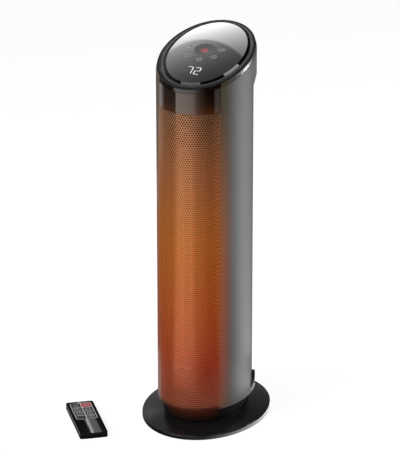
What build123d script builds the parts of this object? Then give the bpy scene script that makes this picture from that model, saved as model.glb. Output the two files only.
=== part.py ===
from build123d import *
import math
import os

# Tall oscillating ceramic fan heater with its remote control.
# Lengths are millimetres and angles are degrees. Z is up, the air outlet faces -Y,
# and the origin is on the floor below the middle of the base.

os.makedirs("parts", exist_ok=True)

# Clearances
running_fit = 0.08
slip_gap = 0.3
seam_gap = 0.35
screw_play = 0.1

# Tower body, an upright oval tube with a sloping head
body_half_width = 70.0
body_half_depth = 95.5
body_bottom = 35.5
wall = 2.5
head_height = 561.0
head_tilt = 14.8
shoulder_height = 4.2
shoulder_inset = 1.5
groove_width = 0.8
groove_depth = 0.8

# Rear intake, sunk into the rear housing
recess_depth = 4.5
recess_bottom = 43.3
recess_top = 510.0
recess_taper = 18.0
slot_width = 27.0
slot_height = 4.5
slot_column_pitch = 33.0
slot_row_pitch = 9.5
slot_columns = 3
slot_rows = 44
slot_middle = 282.0

# Front panel: perforated grille below, plain band above
panel_half_width = 47.0
grille_top = 499.6
hole_diameter = 8.4
hole_pitch = 11.8
hole_columns = 8
hole_rows = 44
grille_lip = 4.0
ledge_width = 10.0
ledge_depth = 2.5
ledge_sill = 60.0
ledge_lintel = 505.0

# Base
base_half_width = 93.5
base_half_depth = 121.0
base_wall = 2.5
base_floor_gap = 0.8
base_rim_height = 6.5
base_top = 15.0
base_rim_round = 1.2
plate_bottom = 1.5
plate_thickness = 3.0
plate_edge_gap = 2.2
foot_radius = 7.0
foot_height = 2.5
foot_count = 6
foot_edge = 19.0

# Neck and swivel
neck_half_width = 60.0
neck_half_depth = 85.5
neck_wall = 2.5
neck_lift = 0.8
hub_radius = 26.0
hub_bore_radius = 18.0
hub_spigot_radius = 22.0
slip_inner_radius = 34.0
slip_outer_radius = 44.0
slip_groove = 1.0
slip_height = 2.0
turntable_floor = 2.5

# Oscillation gears
gear_module = 1.5
gear_teeth = 54
pinion_teeth = 14
gear_thickness = 7.0
gear_backlash = 0.35
gear_pressure = 25.0
gear_spread = 0.1
pinion_shaft_radius = 3.5
swing_motor_radius = 25.0
swing_motor_height = 16.0

# Fasteners
screw_radius = 1.5
screw_head_radius = 3.0
screw_head_height = 1.6
boss_radius = 4.5
boss_sink = 1.0
boss_angle = 35.0
board_screw_length = 8.0
case_screw_length = 12.0

# Bottom cap
cap_thickness = 3.0
cap_rim_height = 4.5
cap_rim_wall = 2.0

# Blower and its duct
wheel_radius = 32.0
wheel_bottom = 112.0
wheel_top = 440.0
wheel_y = 28.0
wheel_discs = 5
disc_thickness = 2.0
blade_count = 26
blade_thickness = 0.9
blade_depth = 8.0
blade_lean = 35.0
shaft_radius = 3.0
duct_plate = 2.5
duct_bottom = 104.0
duct_top = 446.0
duct_wall = 1.8
duct_half_width = 36.0
duct_gap = 3.0
scroll_growth = 9.0

# Heater block
heater_depth = 18.0
heater_front = -64.0
heater_frame_wall = 3.0
heater_end = 12.0
heater_rib = 2.0
stone_thickness = 2.4
stone_count = 12
stone_gap = 1.0
stone_depth = 14.0
electrode_thickness = 0.8
fin_count = 74
fin_thickness = 0.9
fin_edge = 0.9

# Blower motor
stack_width = 64.0
stack_depth = 50.0
stack_height = 20.0
stack_bottom = 73.0
stack_shift = 10.0
rotor_radius = 12.5
rotor_gap = 0.6
limb_width = 12.0
coil_wrap = 4.0
bridge_width = 18.0
bridge_thickness = 2.0
bridge_reach = 7.0
bearing_radius = 5.0
bearing_height = 5.0

# Boards
board_thickness = 1.6
power_board_width = 80.0
power_board_depth = 50.0
power_board_y = -37.0
power_board_height = 48.0
panel_board_half_width = 44.0
panel_board_half_depth = 66.0

# Head: bezel ring, glass panel and power button, measured square to the sloping head
bezel_height = 1.2
bezel_inner_inset = 9.5
bezel_ledge_inset = 13.5
bezel_ledge = 2.0
bezel_skirt = 6.0
panel_gap = 1.0
panel_thickness = 2.9
panel_bevel_width = 3.8
panel_bevel_height = 2.0
panel_shift = 2.5
button_radius = 15.2
button_x = -5.9
button_y = 9.4
button_thickness = 2.9
button_dish = 1.8
button_travel = 1.0
button_stem_radius = 2.5
display_x = -0.5
display_y = -50.0
display_width = 34.0
display_depth = 26.0
display_height = 4.5
tray_drop = 14.0
tray_thickness = 2.0
panel_board_drop = 7.0
switch_size = 6.2
plunger_reach = 1.0
plunger_radius = 1.7

# Cord gland at the rear right
gland_radius = 6.0
gland_height = 49.5
gland_facing = 19.7
gland_proud = 4.6
gland_inner = 10.0
gland_bore_radius = 3.6
gland_neck_radius = 5.0

# Remote control, lying on the floor beside the base
remote_x = -152.0
remote_y = -110.0
remote_turn = 33.0
remote_length = 118.0
remote_width = 42.0
remote_corner = 4.0
remote_lower_height = 5.0
remote_height = 8.6
remote_wall = 1.6
remote_crown = 0.8
overlay_width = 33.0
overlay_length = 60.0
overlay_thickness = 0.3
overlay_top_margin = 6.5
cell_radius = 10.0
cell_thickness = 2.5
battery_tray_width = 24.0
battery_tray_length = 26.0
battery_tray_height = 3.1
battery_tray_wall = 1.2
battery_tray_floor = 0.5


# Derived places shared by several pieces
plate_top = plate_bottom + plate_thickness
turntable_bottom = base_top - slip_groove + slip_height
turntable_top = turntable_bottom + turntable_floor
cap_top = body_bottom + cap_thickness
gear_bottom = turntable_top + slip_gap
gear_top = gear_bottom + gear_thickness
gear_pitch_radius = gear_module * gear_teeth / 2
pinion_pitch_radius = gear_module * pinion_teeth / 2
pinion_y = gear_pitch_radius + pinion_pitch_radius + gear_spread
heater_back = heater_front + heater_depth
stack_top = stack_bottom + stack_height

# The sloping head's plane: local x to the right, local y up the slope to the rear
head_plane = Plane(
    origin=(0, 0, head_height),
    x_dir=(1, 0, 0),
    z_dir=(0, -math.sin(math.radians(head_tilt)), math.cos(math.radians(head_tilt))),
)
head_half_depth = body_half_depth / math.cos(math.radians(head_tilt))
head_climb = body_half_depth * math.tan(math.radians(head_tilt))
tube_length = head_height + head_climb + wall - body_bottom


def oval(inset):
    """Oval of the tower body, drawn in from its outer face."""
    Ellipse(body_half_width - inset, body_half_depth - inset)


def head_oval(inset, shift=0.0):
    """Oval of the sloping head, drawn in from the body's outer face."""
    with Locations((0, shift)):
        Ellipse(body_half_width - inset, head_half_depth - inset)


def around(half_width, half_depth, count, first=0.0):
    """Evenly stepped places on an oval."""
    angles = [math.radians(first + 360.0 * i / count) for i in range(count)]
    return [(half_width * math.cos(a), half_depth * math.sin(a)) for a in angles]


def mirrored(x, y):
    """Four places, mirrored left to right and front to rear."""
    return [(x, y), (-x, y), (-x, -y), (x, -y)]


def oval_pair(inset, angle):
    """A left and a right place on the body's oval, drawn in from its outer face."""
    across = (body_half_width - inset) * math.cos(math.radians(angle))
    along = (body_half_depth - inset) * math.sin(math.radians(angle))
    return [(across, along), (-across, along)]


def gear_outline(teeth, turn):
    """Points of a gear's outline with involute flanks, one tooth centred on the angle turn."""
    pitch = gear_module * teeth / 2
    tip = pitch + 0.9 * gear_module
    root = pitch - 1.15 * gear_module
    circle = pitch * math.cos(math.radians(gear_pressure))
    roll = math.tan(math.radians(gear_pressure)) - math.radians(gear_pressure)
    half_tooth = math.pi / (2 * teeth) - gear_backlash / (4 * pitch)
    flank = []
    start = max(circle, root)
    steps = 4
    for i in range(steps + 1):
        radius = start + (tip - start) * i / steps
        lead = math.acos(min(1.0, circle / radius))
        flank.append((radius, half_tooth + roll - (math.tan(lead) - lead)))
    if root < start:
        flank.insert(0, (root, flank[0][1]))
    points = []
    for tooth in range(teeth):
        middle = math.radians(turn) + 2 * math.pi * tooth / teeth
        for radius, half in flank:
            points.append((radius * math.cos(middle - half), radius * math.sin(middle - half)))
        for radius, half in reversed(flank):
            points.append((radius * math.cos(middle + half), radius * math.sin(middle + half)))
    return points


def facing_point(half_width, half_depth, facing):
    """Point of an oval where its outward face looks along the angle facing."""
    across = half_width * math.cos(math.radians(facing))
    along = half_depth * math.sin(math.radians(facing))
    reach = math.hypot(across, along)
    return (half_width * across / reach, half_depth * along / reach)


# Outer form of the tower: the oval tube, cut by the sloping head with a tapered shoulder
# and a thin shadow groove under the shoulder
shoulder_drop = shoulder_height / math.cos(math.radians(head_tilt))
shoulder_slip = -shoulder_drop * math.sin(math.radians(head_tilt))
with BuildPart() as envelope:
    with BuildSketch(Plane.XY.offset(body_bottom)):
        oval(0)
    extrude(amount=tube_length)
    split(bisect_by=head_plane.offset(-shoulder_height), keep=Keep.BOTTOM)
    with BuildSketch(head_plane.offset(-shoulder_height)):
        head_oval(0, shoulder_slip)
    with BuildSketch(head_plane):
        head_oval(shoulder_inset)
    loft(ruled=True)
    with BuildSketch(head_plane.offset(-shoulder_height)):
        head_oval(-wall, shoulder_slip)
        with BuildSketch(mode=Mode.SUBTRACT):
            head_oval(groove_depth, shoulder_slip)
    extrude(amount=groove_width, dir=(0, 0, -1), mode=Mode.SUBTRACT)

# Room kept free under the head for the bezel ring's skirt
with BuildPart() as head_room:
    with BuildSketch(Plane.XY.offset(head_height - head_climb - 2 * bezel_skirt)):
        oval(wall)
    extrude(amount=2 * head_climb + 4 * bezel_skirt)
    split(bisect_by=head_plane.offset(-bezel_skirt - slip_gap), keep=Keep.TOP)

# Base cover: shallow oval dome with a low side wall, the swivel hub and screw bosses
base_flat_width = neck_half_width + 1.5
base_flat_depth = neck_half_depth + 1.5
base_boss_places = around(neck_half_width - 10, neck_half_depth - 10, 6, 30)
with BuildPart() as base_cover:
    with BuildSketch(Plane.XY.offset(base_floor_gap)):
        Ellipse(base_half_width, base_half_depth)
    extrude(amount=base_rim_height - base_floor_gap)
    with BuildSketch(Plane.XY.offset(base_rim_height)):
        Ellipse(base_half_width, base_half_depth)
    with BuildSketch(Plane.XY.offset(base_top)):
        Ellipse(base_flat_width, base_flat_depth)
    loft(ruled=True)
    rim_edges = base_cover.edges().filter_by_position(Axis.Z, base_rim_height - 0.01, base_rim_height + 0.01)
    fillet(rim_edges, radius=base_rim_round)
    with BuildSketch(Plane.XY.offset(base_floor_gap)):
        Ellipse(base_half_width - base_wall, base_half_depth - base_wall)
    extrude(amount=base_rim_height - base_wall - base_floor_gap, mode=Mode.SUBTRACT)
    with BuildSketch(Plane.XY.offset(base_rim_height - base_wall)):
        Ellipse(base_half_width - base_wall, base_half_depth - base_wall)
    with BuildSketch(Plane.XY.offset(base_top - base_wall)):
        Ellipse(base_flat_width, base_flat_depth)
    loft(ruled=True, mode=Mode.SUBTRACT)
    with BuildSketch(Plane.XY.offset(plate_top)):
        Circle(hub_radius)
    extrude(amount=gear_bottom - plate_top)
    with BuildSketch(Plane.XY.offset(gear_bottom)):
        Circle(hub_spigot_radius)
    extrude(amount=gear_thickness)
    with BuildSketch(Plane.XY.offset(plate_top)):
        with Locations(*base_boss_places):
            Circle(boss_radius)
    extrude(amount=base_top - base_wall / 2 - plate_top)
    with BuildSketch(Plane.XY.offset(plate_top)):
        with Locations(*base_boss_places):
            Circle(screw_radius + screw_play)
    extrude(amount=base_top - 2 * base_wall - plate_top + 1, mode=Mode.SUBTRACT)
    with BuildSketch(Plane.XY.offset(plate_top)):
        Circle(hub_bore_radius)
    extrude(amount=gear_top - plate_top, mode=Mode.SUBTRACT)
    with BuildSketch(Plane.XY.offset(base_top - slip_groove)):
        Circle(slip_outer_radius + running_fit)
        Circle(slip_inner_radius - running_fit, mode=Mode.SUBTRACT)
    extrude(amount=slip_groove, mode=Mode.SUBTRACT)
    hub_screw_radius = (hub_spigot_radius + hub_bore_radius) / 2
    with BuildSketch(Plane.XY.offset(gear_top)):
        with PolarLocations(hub_screw_radius, 3):
            Circle(screw_radius - 0.2)
    extrude(amount=-gear_thickness, mode=Mode.SUBTRACT)
base_cover.part.label = "base_cover"
export_step(base_cover.part, "parts/base_cover.step")

# Base plate: steel plate that closes the base, with pockets for the feet
plate_half_width = base_half_width - base_wall - plate_edge_gap
plate_half_depth = base_half_depth - base_wall - plate_edge_gap
foot_places = around(base_half_width - foot_edge, base_half_depth - foot_edge, foot_count, 0)
with BuildPart() as base_plate:
    with BuildSketch(Plane.XY.offset(plate_bottom)):
        Ellipse(plate_half_width, plate_half_depth)
    extrude(amount=plate_thickness)
    with BuildSketch(Plane.XY.offset(plate_bottom)):
        with Locations(*foot_places):
            Circle(foot_radius + screw_play)
    extrude(amount=foot_height - plate_bottom, mode=Mode.SUBTRACT)
    with BuildSketch(Plane.XY.offset(plate_bottom)):
        with Locations(*base_boss_places):
            Circle(screw_radius + screw_play)
    extrude(amount=plate_thickness, mode=Mode.SUBTRACT)
    with BuildSketch(Plane.XY.offset(plate_bottom)):
        with Locations(*base_boss_places):
            Circle(screw_head_radius + slip_gap)
    extrude(amount=screw_head_height, mode=Mode.SUBTRACT)
base_plate.part.label = "base_plate"
export_step(base_plate.part, "parts/base_plate.step")

# Rubber feet, glued into the plate's pockets
with BuildPart() as rubber_feet:
    with BuildSketch():
        with Locations(*foot_places):
            Circle(foot_radius)
    extrude(amount=foot_height)
rubber_feet.part.label = "rubber_feet"
export_step(rubber_feet.part, "parts/rubber_feet.step")

# Screws that hold the plate to the cover's bosses
base_screw_seat = plate_bottom + screw_head_height
with BuildPart() as base_screws:
    with BuildSketch(Plane.XY.offset(base_screw_seat)):
        with Locations(*base_boss_places):
            Circle(screw_head_radius)
    extrude(amount=-screw_head_height)
    with BuildSketch(Plane.XY.offset(base_screw_seat)):
        with Locations(*base_boss_places):
            Circle(screw_radius)
    extrude(amount=base_top - 2 * base_wall - base_screw_seat)
base_screws.part.label = "base_screws"
export_step(base_screws.part, "parts/base_screws.step")

# Slip ring that the turntable runs on
with BuildPart() as slip_ring:
    with BuildSketch(Plane.XY.offset(base_top - slip_groove)):
        Circle(slip_outer_radius)
        Circle(slip_inner_radius, mode=Mode.SUBTRACT)
    extrude(amount=slip_height)
slip_ring.part.label = "slip_ring"
export_step(slip_ring.part, "parts/slip_ring.step")

# Fixed gear on the hub's spigot: the swing motor's pinion walks around it
with BuildPart() as swing_gear:
    with BuildSketch(Plane.XY.offset(gear_bottom)):
        with BuildLine():
            Polyline(*gear_outline(gear_teeth, 90), close=True)
        make_face()
        Circle(hub_spigot_radius + running_fit, mode=Mode.SUBTRACT)
    extrude(amount=gear_thickness)
swing_gear.part.label = "swing_gear"
export_step(swing_gear.part, "parts/swing_gear.step")

# Washer and screws that hold the gear on the hub, and so keep the turntable down
washer_thickness = 1.5
with BuildPart() as gear_washer:
    with BuildSketch(Plane.XY.offset(gear_top)):
        Circle(hub_radius + 2)
        Circle(hub_bore_radius, mode=Mode.SUBTRACT)
        with PolarLocations(hub_screw_radius, 3):
            Circle(screw_radius, mode=Mode.SUBTRACT)
    extrude(amount=washer_thickness)
gear_washer.part.label = "gear_washer"
export_step(gear_washer.part, "parts/gear_washer.step")

with BuildPart() as gear_screws:
    with BuildSketch(Plane.XY.offset(gear_top + washer_thickness)):
        with PolarLocations(hub_screw_radius, 3):
            Circle(screw_head_radius - 0.6)
    extrude(amount=screw_head_height)
    with BuildSketch(Plane.XY.offset(gear_top + washer_thickness)):
        with PolarLocations(hub_screw_radius, 3):
            Circle(screw_radius - 0.3)
    extrude(amount=-(gear_thickness + washer_thickness) + 1)
gear_screws.part.label = "gear_screws"
export_step(gear_screws.part, "parts/gear_screws.step")

# Turntable: the dark oval neck under the body, turning on the hub
neck_boss_places = mirrored(40.0, 52.0)
with BuildPart() as turntable:
    with BuildSketch(Plane.XY.offset(turntable_bottom)):
        Ellipse(neck_half_width, neck_half_depth)
        Circle(hub_radius + running_fit, mode=Mode.SUBTRACT)
    extrude(amount=turntable_floor)
    with BuildSketch(Plane.XY.offset(base_top + neck_lift)):
        Ellipse(neck_half_width, neck_half_depth)
        Ellipse(neck_half_width - neck_wall, neck_half_depth - neck_wall, mode=Mode.SUBTRACT)
    extrude(amount=body_bottom - base_top - neck_lift)
    with BuildSketch(Plane.XY.offset(turntable_bottom)):
        with Locations(*neck_boss_places):
            Circle(boss_radius)
    extrude(amount=body_bottom - turntable_bottom)
    with BuildSketch(Plane.XY.offset(turntable_top)):
        with Locations(*neck_boss_places):
            Circle(screw_radius + screw_play)
    extrude(amount=body_bottom - turntable_top, mode=Mode.SUBTRACT)
turntable.part.label = "turntable"
export_step(turntable.part, "parts/turntable.step")

# Bottom cap: closes the body and carries the swing motor, the board and the housings
front_boss_places = oval_pair(wall + boss_radius - boss_sink, -boss_angle)
rear_boss_places = oval_pair(recess_depth + wall + boss_radius - boss_sink, boss_angle)
housing_boss_places = front_boss_places + rear_boss_places
board_post_places = mirrored(power_board_width / 2 - 5, power_board_depth / 2 - 5)
board_post_places = [(x, y + power_board_y) for x, y in board_post_places]
motor_ear_reach = swing_motor_radius + 5
swing_ear_places = [(motor_ear_reach, pinion_y), (-motor_ear_reach, pinion_y)]
with BuildPart() as bottom_cap:
    with BuildSketch(Plane.XY.offset(body_bottom)):
        oval(wall + slip_gap)
    extrude(amount=cap_thickness)
    with BuildSketch(Plane.XY.offset(cap_top)):
        oval(wall + recess_depth + 0.5)
        with BuildSketch(mode=Mode.SUBTRACT):
            oval(wall + recess_depth + 0.5 + cap_rim_wall)
    extrude(amount=cap_rim_height)
    with BuildSketch(Plane.XY.offset(cap_top)):
        with Locations(*housing_boss_places):
            Circle(boss_radius + 2 * slip_gap)
    extrude(amount=cap_rim_height, mode=Mode.SUBTRACT)
    with BuildSketch(Plane.XY.offset(cap_top)):
        with Locations(*board_post_places):
            Circle(boss_radius - 1)
    extrude(amount=power_board_height - cap_top)
    with BuildSketch(Plane.XY.offset(body_bottom)):
        with Locations((0, pinion_y)):
            Circle(pinion_shaft_radius + 1)
        with Locations(*neck_boss_places):
            Circle(screw_radius + screw_play)
        with Locations(*housing_boss_places):
            Circle(screw_radius + screw_play)
        with Locations(*swing_ear_places):
            Circle(screw_radius + screw_play)
    extrude(amount=cap_thickness, mode=Mode.SUBTRACT)
    with BuildSketch(Plane.XY.offset(body_bottom)):
        with Locations(*housing_boss_places):
            Circle(screw_head_radius + slip_gap)
    extrude(amount=screw_head_height, mode=Mode.SUBTRACT)
    with BuildSketch(Plane.XY.offset(power_board_height)):
        with Locations(*board_post_places):
            Circle(screw_radius + screw_play)
    extrude(amount=-board_screw_length, mode=Mode.SUBTRACT)
bottom_cap.part.label = "bottom_cap"
export_step(bottom_cap.part, "parts/bottom_cap.step")

housing_screw_seat = body_bottom + screw_head_height

# Front housing: both grey flanks, joined behind the front panel by a frame with a ledge,
# with rear edges turned inwards to close the step down to the sunk rear housing
housing_boss_height = 16.0
shelf_thickness = 2.0
duct_inset = wall + recess_depth + 0.4
ledge_inset = wall + slip_gap + ledge_depth
with BuildPart() as front_housing:
    with BuildSketch(Plane.XY.offset(body_bottom)):
        oval(0)
        with BuildSketch(mode=Mode.SUBTRACT):
            oval(wall)
        with BuildSketch():
            oval(wall / 2)
            with BuildSketch(mode=Mode.SUBTRACT):
                oval(ledge_inset)
            with Locations((0, -body_half_depth / 2)):
                Rectangle(2 * (panel_half_width + 5), body_half_depth, mode=Mode.INTERSECT)
        with BuildSketch():
            oval(wall / 2)
            with BuildSketch(mode=Mode.SUBTRACT):
                oval(wall + recess_depth)
            with Locations((0, -wall / 2)):
                Rectangle(2 * body_half_width, wall, mode=Mode.INTERSECT)
        with BuildSketch(mode=Mode.SUBTRACT):
            oval(-1)
            with BuildSketch(mode=Mode.SUBTRACT):
                oval(wall + slip_gap)
            with Locations((0, -body_half_depth / 2)):
                Rectangle(2 * panel_half_width, body_half_depth + 4, mode=Mode.INTERSECT)
    extrude(amount=tube_length)
    for height in (duct_bottom, duct_top):
        with BuildSketch(Plane.XY.offset(height - shelf_thickness)):
            oval(wall / 2)
            with BuildSketch(mode=Mode.SUBTRACT):
                oval(duct_inset + shelf_thickness)
            Rectangle(2 * panel_half_width + 2, 2 * body_half_depth, mode=Mode.SUBTRACT)
        extrude(amount=shelf_thickness)
    with BuildSketch(Plane.XZ):
        with Locations((0, (ledge_sill + ledge_lintel) / 2)):
            Rectangle(2 * (panel_half_width - ledge_width), ledge_lintel - ledge_sill)
    extrude(amount=body_half_depth, mode=Mode.SUBTRACT)
    with BuildSketch(Plane.XY.offset(body_bottom)):
        oval(wall)
    extrude(amount=cap_thickness + slip_gap, mode=Mode.SUBTRACT)
    with BuildSketch(Plane.XY.offset(cap_top)):
        with Locations(*front_boss_places):
            Circle(boss_radius)
    extrude(amount=housing_boss_height)
    with BuildSketch(Plane.XY.offset(cap_top)):
        with Locations(*front_boss_places):
            Circle(screw_radius + screw_play)
    extrude(amount=housing_boss_height - 2, mode=Mode.SUBTRACT)
    split(bisect_by=Plane.XZ, keep=Keep.TOP)
    add(head_room.part, mode=Mode.SUBTRACT)
    add(envelope.part, mode=Mode.INTERSECT)
front_housing.part.label = "front_housing"
export_step(front_housing.part, "parts/front_housing.step")

# Rear housing: the rear half of the body, with its sunk intake and rows of air slots
gland_seat = facing_point(body_half_width - recess_depth, body_half_depth - recess_depth, gland_facing)
gland_plane = Plane(
    origin=(gland_seat[0], gland_seat[1], gland_height),
    x_dir=(-math.sin(math.radians(gland_facing)), math.cos(math.radians(gland_facing)), 0),
    z_dir=(math.cos(math.radians(gland_facing)), math.sin(math.radians(gland_facing)), 0),
)
with BuildPart() as rear_housing:
    add(envelope.part)
    split(bisect_by=Plane.XY.offset(recess_top + recess_taper), keep=Keep.TOP)
    with BuildSketch(Plane.XY.offset(body_bottom)):
        oval(0)
    extrude(amount=recess_bottom - body_bottom)
    with BuildSketch(Plane.XY.offset(recess_bottom)):
        oval(recess_depth)
    extrude(amount=recess_top - recess_bottom)
    with BuildSketch(Plane.XY.offset(recess_top)):
        oval(recess_depth)
    with BuildSketch(Plane.XY.offset(recess_top + recess_taper)):
        oval(0)
    loft(ruled=True)
    with BuildSketch(Plane.XY.offset(body_bottom)):
        oval(wall)
    extrude(amount=recess_bottom - wall - body_bottom, mode=Mode.SUBTRACT)
    with BuildSketch(Plane.XY.offset(recess_bottom - wall)):
        oval(recess_depth + wall)
    extrude(amount=recess_top - recess_bottom + wall, mode=Mode.SUBTRACT)
    with BuildSketch(Plane.XY.offset(recess_top)):
        oval(recess_depth + wall)
    with BuildSketch(Plane.XY.offset(recess_top + recess_taper)):
        oval(wall)
    loft(ruled=True, mode=Mode.SUBTRACT)
    with BuildSketch(Plane.XY.offset(recess_top + recess_taper)):
        oval(wall)
    extrude(amount=head_height + 2 * head_climb - recess_top - recess_taper, mode=Mode.SUBTRACT)
    split(bisect_by=Plane.XZ.offset(-seam_gap), keep=Keep.BOTTOM)
    with BuildSketch(Plane.XY.offset(cap_top)):
        with Locations(*rear_boss_places):
            Circle(boss_radius)
    extrude(amount=housing_boss_height)
    with BuildSketch(Plane.XY.offset(cap_top)):
        with Locations(*rear_boss_places):
            Circle(screw_radius + screw_play)
    extrude(amount=housing_boss_height - 2, mode=Mode.SUBTRACT)
    with BuildSketch(gland_plane.offset(-2 * wall)):
        Circle(gland_neck_radius + screw_play)
    extrude(amount=4 * wall, mode=Mode.SUBTRACT)
    with BuildSketch(Plane.XZ.offset(-wheel_y)):
        with Locations((0, slot_middle)):
            with GridLocations(slot_column_pitch, slot_row_pitch, slot_columns, slot_rows):
                Rectangle(slot_width, slot_height)
    extrude(amount=-body_half_depth, mode=Mode.SUBTRACT)
rear_housing.part.label = "rear_housing"
export_step(rear_housing.part, "parts/rear_housing.step")

# Front grille: curved perforated sheet, flush with the flanks
with BuildPart() as front_grille:
    with BuildSketch(Plane.XY.offset(body_bottom)):
        oval(0)
        with BuildSketch(mode=Mode.SUBTRACT):
            oval(wall)
        with Locations((0, -body_half_depth / 2)):
            Rectangle(2 * (panel_half_width - seam_gap), body_half_depth, mode=Mode.INTERSECT)
    extrude(amount=grille_top - body_bottom)
    row_pitch = hole_pitch * math.sqrt(3) / 2
    first_row = body_bottom + grille_lip + hole_diameter / 2
    hole_places = []
    for row in range(hole_rows):
        for column in range(hole_columns - row % 2):
            across = (column - (hole_columns - 1 - row % 2) / 2) * hole_pitch
            hole_places.append((across, first_row + row * row_pitch))
    with BuildSketch(Plane.XZ.offset(body_half_depth / 4)):
        with Locations(*hole_places):
            Circle(hole_diameter / 2)
    extrude(amount=body_half_depth, mode=Mode.SUBTRACT)
front_grille.part.label = "front_grille"
export_step(front_grille.part, "parts/front_grille.step")

# Front band: the plain glossy trim between grille and bezel
with BuildPart() as front_band:
    with BuildSketch(Plane.XY.offset(grille_top + seam_gap)):
        oval(0)
        with BuildSketch(mode=Mode.SUBTRACT):
            oval(wall)
        with Locations((0, -body_half_depth / 2)):
            Rectangle(2 * (panel_half_width - seam_gap), body_half_depth, mode=Mode.INTERSECT)
    extrude(amount=head_height - grille_top)
    add(envelope.part, mode=Mode.INTERSECT)
front_band.part.label = "front_band"
export_step(front_band.part, "parts/front_band.step")

# Swing pinion with its shaft, standing up through the cap into the swing motor
swing_motor_bore = 7.0
swing_ear_thickness = 2.0
with BuildPart() as swing_pinion:
    with BuildSketch(Plane((0, pinion_y, gear_bottom))):
        with BuildLine():
            Polyline(*gear_outline(pinion_teeth, 270 + 180 / pinion_teeth), close=True)
        make_face()
    extrude(amount=gear_thickness)
    with BuildSketch(Plane.XY.offset(gear_bottom)):
        with Locations((0, pinion_y)):
            Circle(pinion_shaft_radius)
    extrude(amount=cap_top + swing_motor_bore - gear_bottom)
swing_pinion.part.label = "swing_pinion"
export_step(swing_pinion.part, "parts/swing_pinion.step")

# Swing motor, a flat round synchronous motor with two fixing ears
with BuildPart() as swing_motor:
    with BuildSketch(Plane.XY.offset(cap_top)):
        with Locations((0, pinion_y)):
            Circle(swing_motor_radius)
    extrude(amount=swing_motor_height)
    motor_rim = swing_motor.edges().filter_by(GeomType.CIRCLE).group_by(Axis.Z)[-1]
    fillet(motor_rim, radius=1.5)
    with BuildSketch(Plane.XY.offset(cap_top)):
        with Locations((0, pinion_y)):
            SlotCenterToCenter(2 * motor_ear_reach, 2 * boss_radius)
        with Locations(*swing_ear_places):
            Circle(screw_radius + screw_play, mode=Mode.SUBTRACT)
    extrude(amount=swing_ear_thickness)
    with BuildSketch(Plane.XY.offset(cap_top)):
        with Locations((0, pinion_y)):
            Circle(pinion_shaft_radius + running_fit)
    extrude(amount=swing_motor_bore + slip_gap, mode=Mode.SUBTRACT)
swing_motor.part.label = "swing_motor"
export_step(swing_motor.part, "parts/swing_motor.step")

# Duct plates: oval floors below and above the blower, resting on the housing's shelves
motor_post_places = mirrored(stack_width / 2 - 5, stack_depth / 2 - 5)
motor_post_places = [(x + stack_shift, y + wheel_y) for x, y in motor_post_places]
upper_bush_radius = bearing_radius + 5.0
with BuildPart() as duct_floor:
    with BuildSketch(Plane.XY.offset(duct_bottom)):
        oval(duct_inset)
    extrude(amount=duct_plate)
    with BuildSketch(Plane.XY.offset(duct_bottom)):
        with Locations(*motor_post_places):
            Circle(boss_radius)
    extrude(amount=stack_top - duct_bottom)
    with BuildSketch(Plane.XY.offset(stack_top)):
        with Locations((0, wheel_y)):
            Circle(bearing_radius + 2)
        with Locations(*motor_post_places):
            Circle(screw_radius + screw_play)
    extrude(amount=duct_bottom + duct_plate - stack_top, mode=Mode.SUBTRACT)
duct_floor.part.label = "duct_floor"
export_step(duct_floor.part, "parts/duct_floor.step")

with BuildPart() as duct_roof:
    with BuildSketch(Plane.XY.offset(duct_top)):
        oval(duct_inset)
        with Locations((0, wheel_y)):
            Circle(upper_bush_radius + running_fit, mode=Mode.SUBTRACT)
    extrude(amount=duct_plate)
duct_roof.part.label = "duct_roof"
export_step(duct_roof.part, "parts/duct_roof.step")


def scroll_points(outward):
    """Points of the scroll behind the blower wheel, widening towards the outlet."""
    points = []
    for step in range(13):
        share = step / 12
        angle = math.radians(105 - 150 * share)
        reach = wheel_radius + duct_gap + scroll_growth * share + outward
        points.append((reach * math.cos(angle), wheel_y + reach * math.sin(angle)))
    return points


# Scroll: the curved right wall of the duct, from behind the wheel to the heater
with BuildPart() as duct_scroll:
    with BuildSketch(Plane.XY.offset(duct_bottom + duct_plate)):
        with BuildLine():
            inner_curve = Spline(*scroll_points(0))
            outer_curve = Spline(*scroll_points(duct_wall))
            Line(inner_curve @ 0, outer_curve @ 0)
            Line(inner_curve @ 1, (duct_half_width, heater_back))
            Line((duct_half_width, heater_back), (duct_half_width + duct_wall, heater_back))
            Line((duct_half_width + duct_wall, heater_back), outer_curve @ 1)
        make_face()
    extrude(amount=duct_top - duct_bottom - duct_plate)
duct_scroll.part.label = "duct_scroll"
export_step(duct_scroll.part, "parts/duct_scroll.step")

# Tongue: the left wall of the duct, with its lip close to the wheel
lip_angle = math.radians(205)
lip_reach = wheel_radius + duct_gap
lip = (lip_reach * math.cos(lip_angle), wheel_y + lip_reach * math.sin(lip_angle))
with BuildPart() as duct_tongue:
    with BuildSketch(Plane.XY.offset(duct_bottom + duct_plate)):
        with BuildLine():
            Polyline(
                (-duct_half_width, heater_back),
                (-duct_half_width, lip[1] - 12),
                lip,
                (lip[0] - duct_wall, lip[1]),
                (-duct_half_width - duct_wall, lip[1] - 12),
                (-duct_half_width - duct_wall, heater_back),
                close=True,
            )
        make_face()
    extrude(amount=duct_top - duct_bottom - duct_plate)
duct_tongue.part.label = "duct_tongue"
export_step(duct_tongue.part, "parts/duct_tongue.step")

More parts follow.
